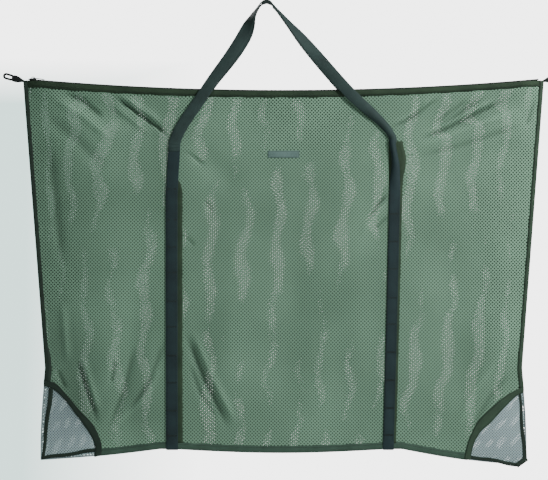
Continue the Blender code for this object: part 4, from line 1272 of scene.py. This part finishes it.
def handle_knots(side):
    """The handle's middle line, with how far it faces outwards, its curl and its share of width."""
    peg = Vector((-SACK_PLACE.x, 0.0, -SACK_PLACE.z + WEBBING_THICKNESS / 2))
    peg_depth = side * (WEBBING_WIDTH / 2 + HANDLE_CLEARANCE)
    over = MOUTH_DEPTH / 2 + HEM_HALF + HANDLE_CLEARANCE + WEBBING_THICKNESS / 2
    knots = []
    for strap, sign in ENDS.items():
        tucked = strap == "right" and side == FRONT
        tail_curl, tail_size, foot_size, rise = (
            (TAIL_CURL, TAIL_SIZE, FOOT_SIZE, TAIL_RISE)
            if tucked
            else (HANDLE_CURL, 0.97, 1.0, 2 * SEAM_GAP + WEBBING_THICKNESS / 2)
        )
        start = FOOT_HEIGHT[strap]
        x = float(strap_x(strap, start))
        depth = float(cloth_depth(side, x, start)) + STRAP_OFFSET + WEBBING_THICKNESS + rise
        foot = Vector((x + FOOT_SHIFT[strap], side * depth, start))
        if tucked:
            foot += Vector((TUCKED_FOOT[0], 0.0, TUCKED_FOOT[1]))
        tail = foot + Vector((0.0, side * TAIL_OUT, -TAIL_LENGTH))
        shoulder, rim = (
            peg + Vector((sign * out, peg_depth, high))
            for out, high in (HANDLE_SHOULDER, HANDLE_RIM)
        )
        crossing = foot.lerp(shoulder, CROSSING_SHARE)
        crossing.y = side * max(over, abs(crossing.y))
        crossing.x += sign * LEG_BOW[strap]
        twisted = shoulder + (foot - shoulder).normalized() * HANDLE_TWIST_END[strap]
        twisted.x += sign * HANDLE_BOW
        if side == BACK and strap == "left":
            crossing.x += BACK_HANDLE_OUT
            twisted.x += BACK_HANDLE_IN
        leg = [
            (tail, 1.0, tail_curl, tail_size),
            (foot, 1.0, tail_curl, foot_size),
            (crossing, 1.0, CROSSING_CURL, 1.0),
            (twisted, 1.0, HANDLE_CURL, 1.0),
            (shoulder, SHOULDER_TURN, HANDLE_CURL, 1.0),
            (rim, 0.0, HANDLE_CURL, 1.0),
        ]
        knots += leg if strap == "left" else leg[::-1]
    return knots


def new_curve(kind, count):
    """A curve in three dimensions, and its one spline with this many points."""
    data = bpy.data.curves.new("route", "CURVE")
    data.dimensions = "3D"
    spline = data.splines.new(kind)
    (spline.bezier_points if kind == "BEZIER" else spline.points).add(count - 1)
    return data, spline


def smooth_line(knots, steps):
    """A smooth line through the knots, with their other values eased between them."""
    data, spline = new_curve("BEZIER", len(knots))
    for point, (place, *_) in zip(spline.bezier_points, knots):
        point.co = place
        point.handle_left_type = "AUTO"
        point.handle_right_type = "AUTO"
    route = put("route", data)
    bpy.context.view_layer.update()
    places = []
    values = []
    knobs = spline.bezier_points
    for index in range(len(knots) - 1):
        first, second = knobs[index], knobs[index + 1]
        handles = (first.co, first.handle_right, second.handle_left, second.co)
        run = interpolate_bezier(*handles, steps + 1)
        last = index == len(knots) - 2
        for step in range(steps + last):
            share = step / steps
            share = share * share * (3.0 - 2.0 * share)
            places.append(Vector(run[step]))
            pairs = zip(knots[index][1:], knots[index + 1][1:])
            values.append([start + (end - start) * share for start, end in pairs])
    bpy.data.objects.remove(route, do_unlink=True)
    return places, values


def make_handles():
    for side_name, side in SIDES.items():
        places, values = smooth_line(handle_knots(side), 14)
        rows = []
        for index, (place, (turn, curl, size)) in enumerate(zip(places, values)):
            before = places[max(index - 1, 0)]
            after = places[min(index + 1, len(places) - 1)]
            tangent = (after - before).normalized()
            flat = tangent.cross(Vector((0.0, side, 0.0))).normalized()
            angle = math.pi / 2 * turn
            across = Vector((0.0, 1.0, 0.0)) * math.cos(angle) + flat * math.sin(angle) * side
            out = tangent.cross(across).normalized()
            wave = pucker(0.9 * index / len(places), side, HANDLE_PUCKER)
            row = []
            offs, lifts = curled(HANDLE_SHOWS * size, curl)
            for off, lift in zip(offs, lifts - lifts.max()):
                row.append(place + across * float(off) + out * (float(lift) + wave))
            rows.append(row)
        body = f"{side_name}_handle"
        name, size = f"{body}_webbing", WEBBING_THICKNESS
        obj = strip(name, rows, size, WEBBING, (body,), WEBBING_EDGE, body=None)
        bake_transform(obj)


# Zip


def make_zip_teeth():
    """A row of moulded teeth on each tape, each side's in the other's gaps."""
    start = -MOUTH_WIDTH / 2 + TEETH_START
    count = int((MOUTH_WIDTH / 2 - TEETH_END - start) / TOOTH_PITCH)
    for side_name, side in SIDES.items():
        bm = bmesh.new()
        for index in range(count):
            x = start + TOOTH_PITCH * (index + (0.5 if side == BACK else 0.0))
            place = Vector((x, side * TOOTH_OUT, float(mouth_z(x)) + ZIP_RISE)) + SACK_PLACE
            turn = Matrix.Rotation(-math.asin(x / MOUTH_RADIUS), 4, "Y")
            matrix = Matrix.Translation(place) @ turn @ Matrix.Diagonal((*TOOTH_SIZE, 1.0))
            bmesh.ops.create_cube(bm, size=1.0, matrix=matrix)
        bmesh.ops.bevel(
            bm,
            geom=bm.edges[:],
            offset=TOOTH_EDGE,
            segments=1,
            profile=0.5,
            affect="EDGES",
            material=-1,
        )
        name = f"{side_name}_zip_teeth"
        piece(name, mesh_of(bm, name, False), ZIP_TEETH, nodes=(f"{side_name}_zip_chain",))


def dress_nodes():
    """The CAD's own zip tapes, stops, slider and pull take their finishes."""
    tapes = ("front_zip_tape", "back_zip_tape")
    stops = ("front_zip_top_stop", "back_zip_top_stop", "zip_bottom_stop")
    for names, finish in ((tapes, ZIP_FABRIC), ((*stops, "zip_slider", "zip_pull"), ZIP_METAL)):
        for name in names:
            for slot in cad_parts[name].material_slots:
                slot.material = finish


# Corner loops


def make_corner_loop(part):
    """A cord eye whose two ends run side by side through a sewn, tapering sleeve."""
    sign = ENDS[part]
    rise = math.radians(LOOP_TILT[part])
    corner = Vector((sign * LOOP_CORNER, 0.0, MOUTH_SAG)) + SACK_PLACE
    along = Vector((sign * math.cos(rise), 0.0, math.sin(rise)))
    up = Vector((sign * -math.sin(rise), 0.0, math.cos(rise)))
    ring = []
    for middle, start in ((EYE_START + EYE_LENGTH, -math.pi / 2), (EYE_START, math.pi / 2)):
        for step in range(13):
            angle = start + math.pi * step / 12
            ring.append((middle + EYE_RADIUS * math.cos(angle), EYE_RADIUS * math.sin(angle)))
    data, spline = new_curve("POLY", len(ring))
    data.bevel_depth = CORD_RADIUS
    data.bevel_resolution = 3
    for point, (run, high) in zip(spline.points, ring):
        point.co = (*(corner + along * run + up * high), 1.0)
    spline.use_cyclic_u = True
    route = put("route", data)
    bpy.context.view_layer.update()
    made = route.evaluated_get(bpy.context.evaluated_depsgraph_get())
    cord = bmesh.new()
    cord.from_mesh(bpy.data.meshes.new_from_object(made))
    bpy.data.objects.remove(route, do_unlink=True)
    bmesh.ops.remove_doubles(cord, verts=cord.verts, dist=0.00001)
    bmesh.ops.recalc_face_normals(cord, faces=cord.faces)
    name, body = f"{part}_loop_cord", f"{part}_loop"
    piece(name, mesh_of(cord, name), LOOP_CORD, body, (f"{part}_corner_loop",))

    sleeve = bmesh.new()
    rings = []
    for run, high, deep in SLEEVE:
        circle = bmesh.ops.create_circle(sleeve, cap_ends=False, segments=20, radius=1.0)
        for vert in circle["verts"]:
            place = corner + along * run + up * vert.co.x * high
            vert.co = place + Vector((0.0, vert.co.y * deep, 0.0))
        rings.append({edge for vert in circle["verts"] for edge in vert.link_edges})
    for first, second in zip(rings, rings[1:]):
        bmesh.ops.bridge_loops(sleeve, edges=list(first | second))
    ends = [edge for edge in sleeve.edges if len(edge.link_faces) == 1]
    bmesh.ops.holes_fill(sleeve, edges=ends, sides=0)
    bmesh.ops.recalc_face_normals(sleeve, faces=sleeve.faces)
    name = f"{part}_loop_sleeve"
    piece(name, mesh_of(sleeve, name), LOOP_CORD, body)


# Floor, light and camera

# The photograph's frame in pixels, the peg's place in it, and a pixel's size at the sack
PICTURE = (548, 480)
PEG_PIXEL = (266.5, 1.6)
PIXEL = 0.00229
CAMERA_DISTANCE = 3.4
SENSOR = 36.0
FLOOR_DROP = 0.30
ROOM_LIGHT = 0.40
WALL_LIGHT = 4.4

# Each light's place, what it is aimed at, its size, power and colour
LIGHTS = {
    "key": ((1.85, -1.45, 0.85), (0.10, 0.0, -0.50), 0.6, 101.0, (1.0, 1.0, 1.0)),
    "fill": ((-2.4, -2.2, 0.3), (0.0, 0.0, -0.6), 2.0, 4.0, (0.94, 1.0, 0.99)),
    "back": ((-1.6, 2.3, 0.8), (0.0, 0.0, -0.5), 1.0, 48.0, (1.0, 1.0, 1.0)),
}


def make_stage():
    bm = bmesh.new()
    bmesh.ops.create_circle(bm, cap_ends=True, segments=96, radius=1.5)
    bmesh.ops.translate(bm, vec=(0.0, 0.0, cad_low.z - FLOOR_DROP), verts=bm.verts)
    finish = Finish("floor_finish", 0.9)
    finish.shader.inputs["Base Color"].default_value = (0.80, 0.82, 0.82, 1.0)
    floor = put("floor", mesh_of(bm, "floor", False))
    floor.data.materials.append(finish.material)


def make_studio():
    """Soft light from all round, before a bright wall that is a little green at the left."""
    world = bpy.data.worlds.new("studio")
    studio = Wiring(world)
    soft = studio.nodes["Background"]
    soft.inputs["Color"].default_value = (0.92, 1.0, 0.98, 1.0)
    soft.inputs["Strength"].default_value = ROOM_LIGHT
    toward = studio.add("ShaderNodeTexCoord")
    parts = studio.add("ShaderNodeSeparateXYZ")
    studio.link(toward.outputs["Generated"], parts.inputs["Vector"])
    ramps = []
    for axis, low, high in (("X", -0.165, -0.05), ("Z", 0.09, 0.12)):
        ramp = studio.add("ShaderNodeMapRange", **{"From Min": low, "From Max": high})
        studio.link(parts.outputs[axis], ramp.inputs["Value"])
        ramps.append(ramp.outputs["Result"])
    tint = studio.tones(studio.maths("MAXIMUM", *ramps), (0.0, (0.33, 0.44, 0.42)), (1.0, 1.0))
    wall = studio.add("ShaderNodeBackground", Strength=WALL_LIGHT)
    studio.link(tint, wall.inputs["Color"])
    seen = studio.add("ShaderNodeLightPath")
    mix = studio.add("ShaderNodeMixShader")
    studio.link(seen.outputs["Is Camera Ray"], mix.inputs["Fac"])
    studio.link(soft.outputs["Background"], mix.inputs[1])
    studio.link(wall.outputs["Background"], mix.inputs[2])
    studio.link(mix.outputs["Shader"], studio.nodes["World Output"].inputs["Surface"])
    bpy.context.scene.world = world


def make_lights():
    for name, (place, aim, size, power, colour) in LIGHTS.items():
        data = bpy.data.lights.new(name, "AREA")
        data.shape = "RECTANGLE"
        data.size = data.size_y = size
        data.energy = power
        data.color = colour
        light = put(name, data)
        light.location = place
        light.rotation_euler = (Vector(aim) - Vector(place)).to_track_quat("-Z", "Y").to_euler()


def make_camera():
    data = bpy.data.cameras.new("camera")
    data.sensor_width = SENSOR
    data.lens = SENSOR * CAMERA_DISTANCE / (PICTURE[0] * PIXEL)
    camera = put("camera", data)
    x = (PICTURE[0] / 2 - PEG_PIXEL[0]) * PIXEL
    z = (PEG_PIXEL[1] - PICTURE[1] / 2) * PIXEL
    camera.location = (x, -CAMERA_DISTANCE, z)
    camera.rotation_euler = (math.pi / 2, 0.0, 0.0)
    bpy.context.scene.camera = camera


make_camera()
make_nets()
make_side_bindings()
make_bottom_binding()
make_corner_seams()
make_selvedges()
make_corner_fold()
make_hems()
make_drain_bands()
make_straps()
make_label()
make_handles()
make_zip_teeth()
make_corner_loop("left")
make_corner_loop("right")
dress_nodes()
make_stage()
make_studio()
make_lights()
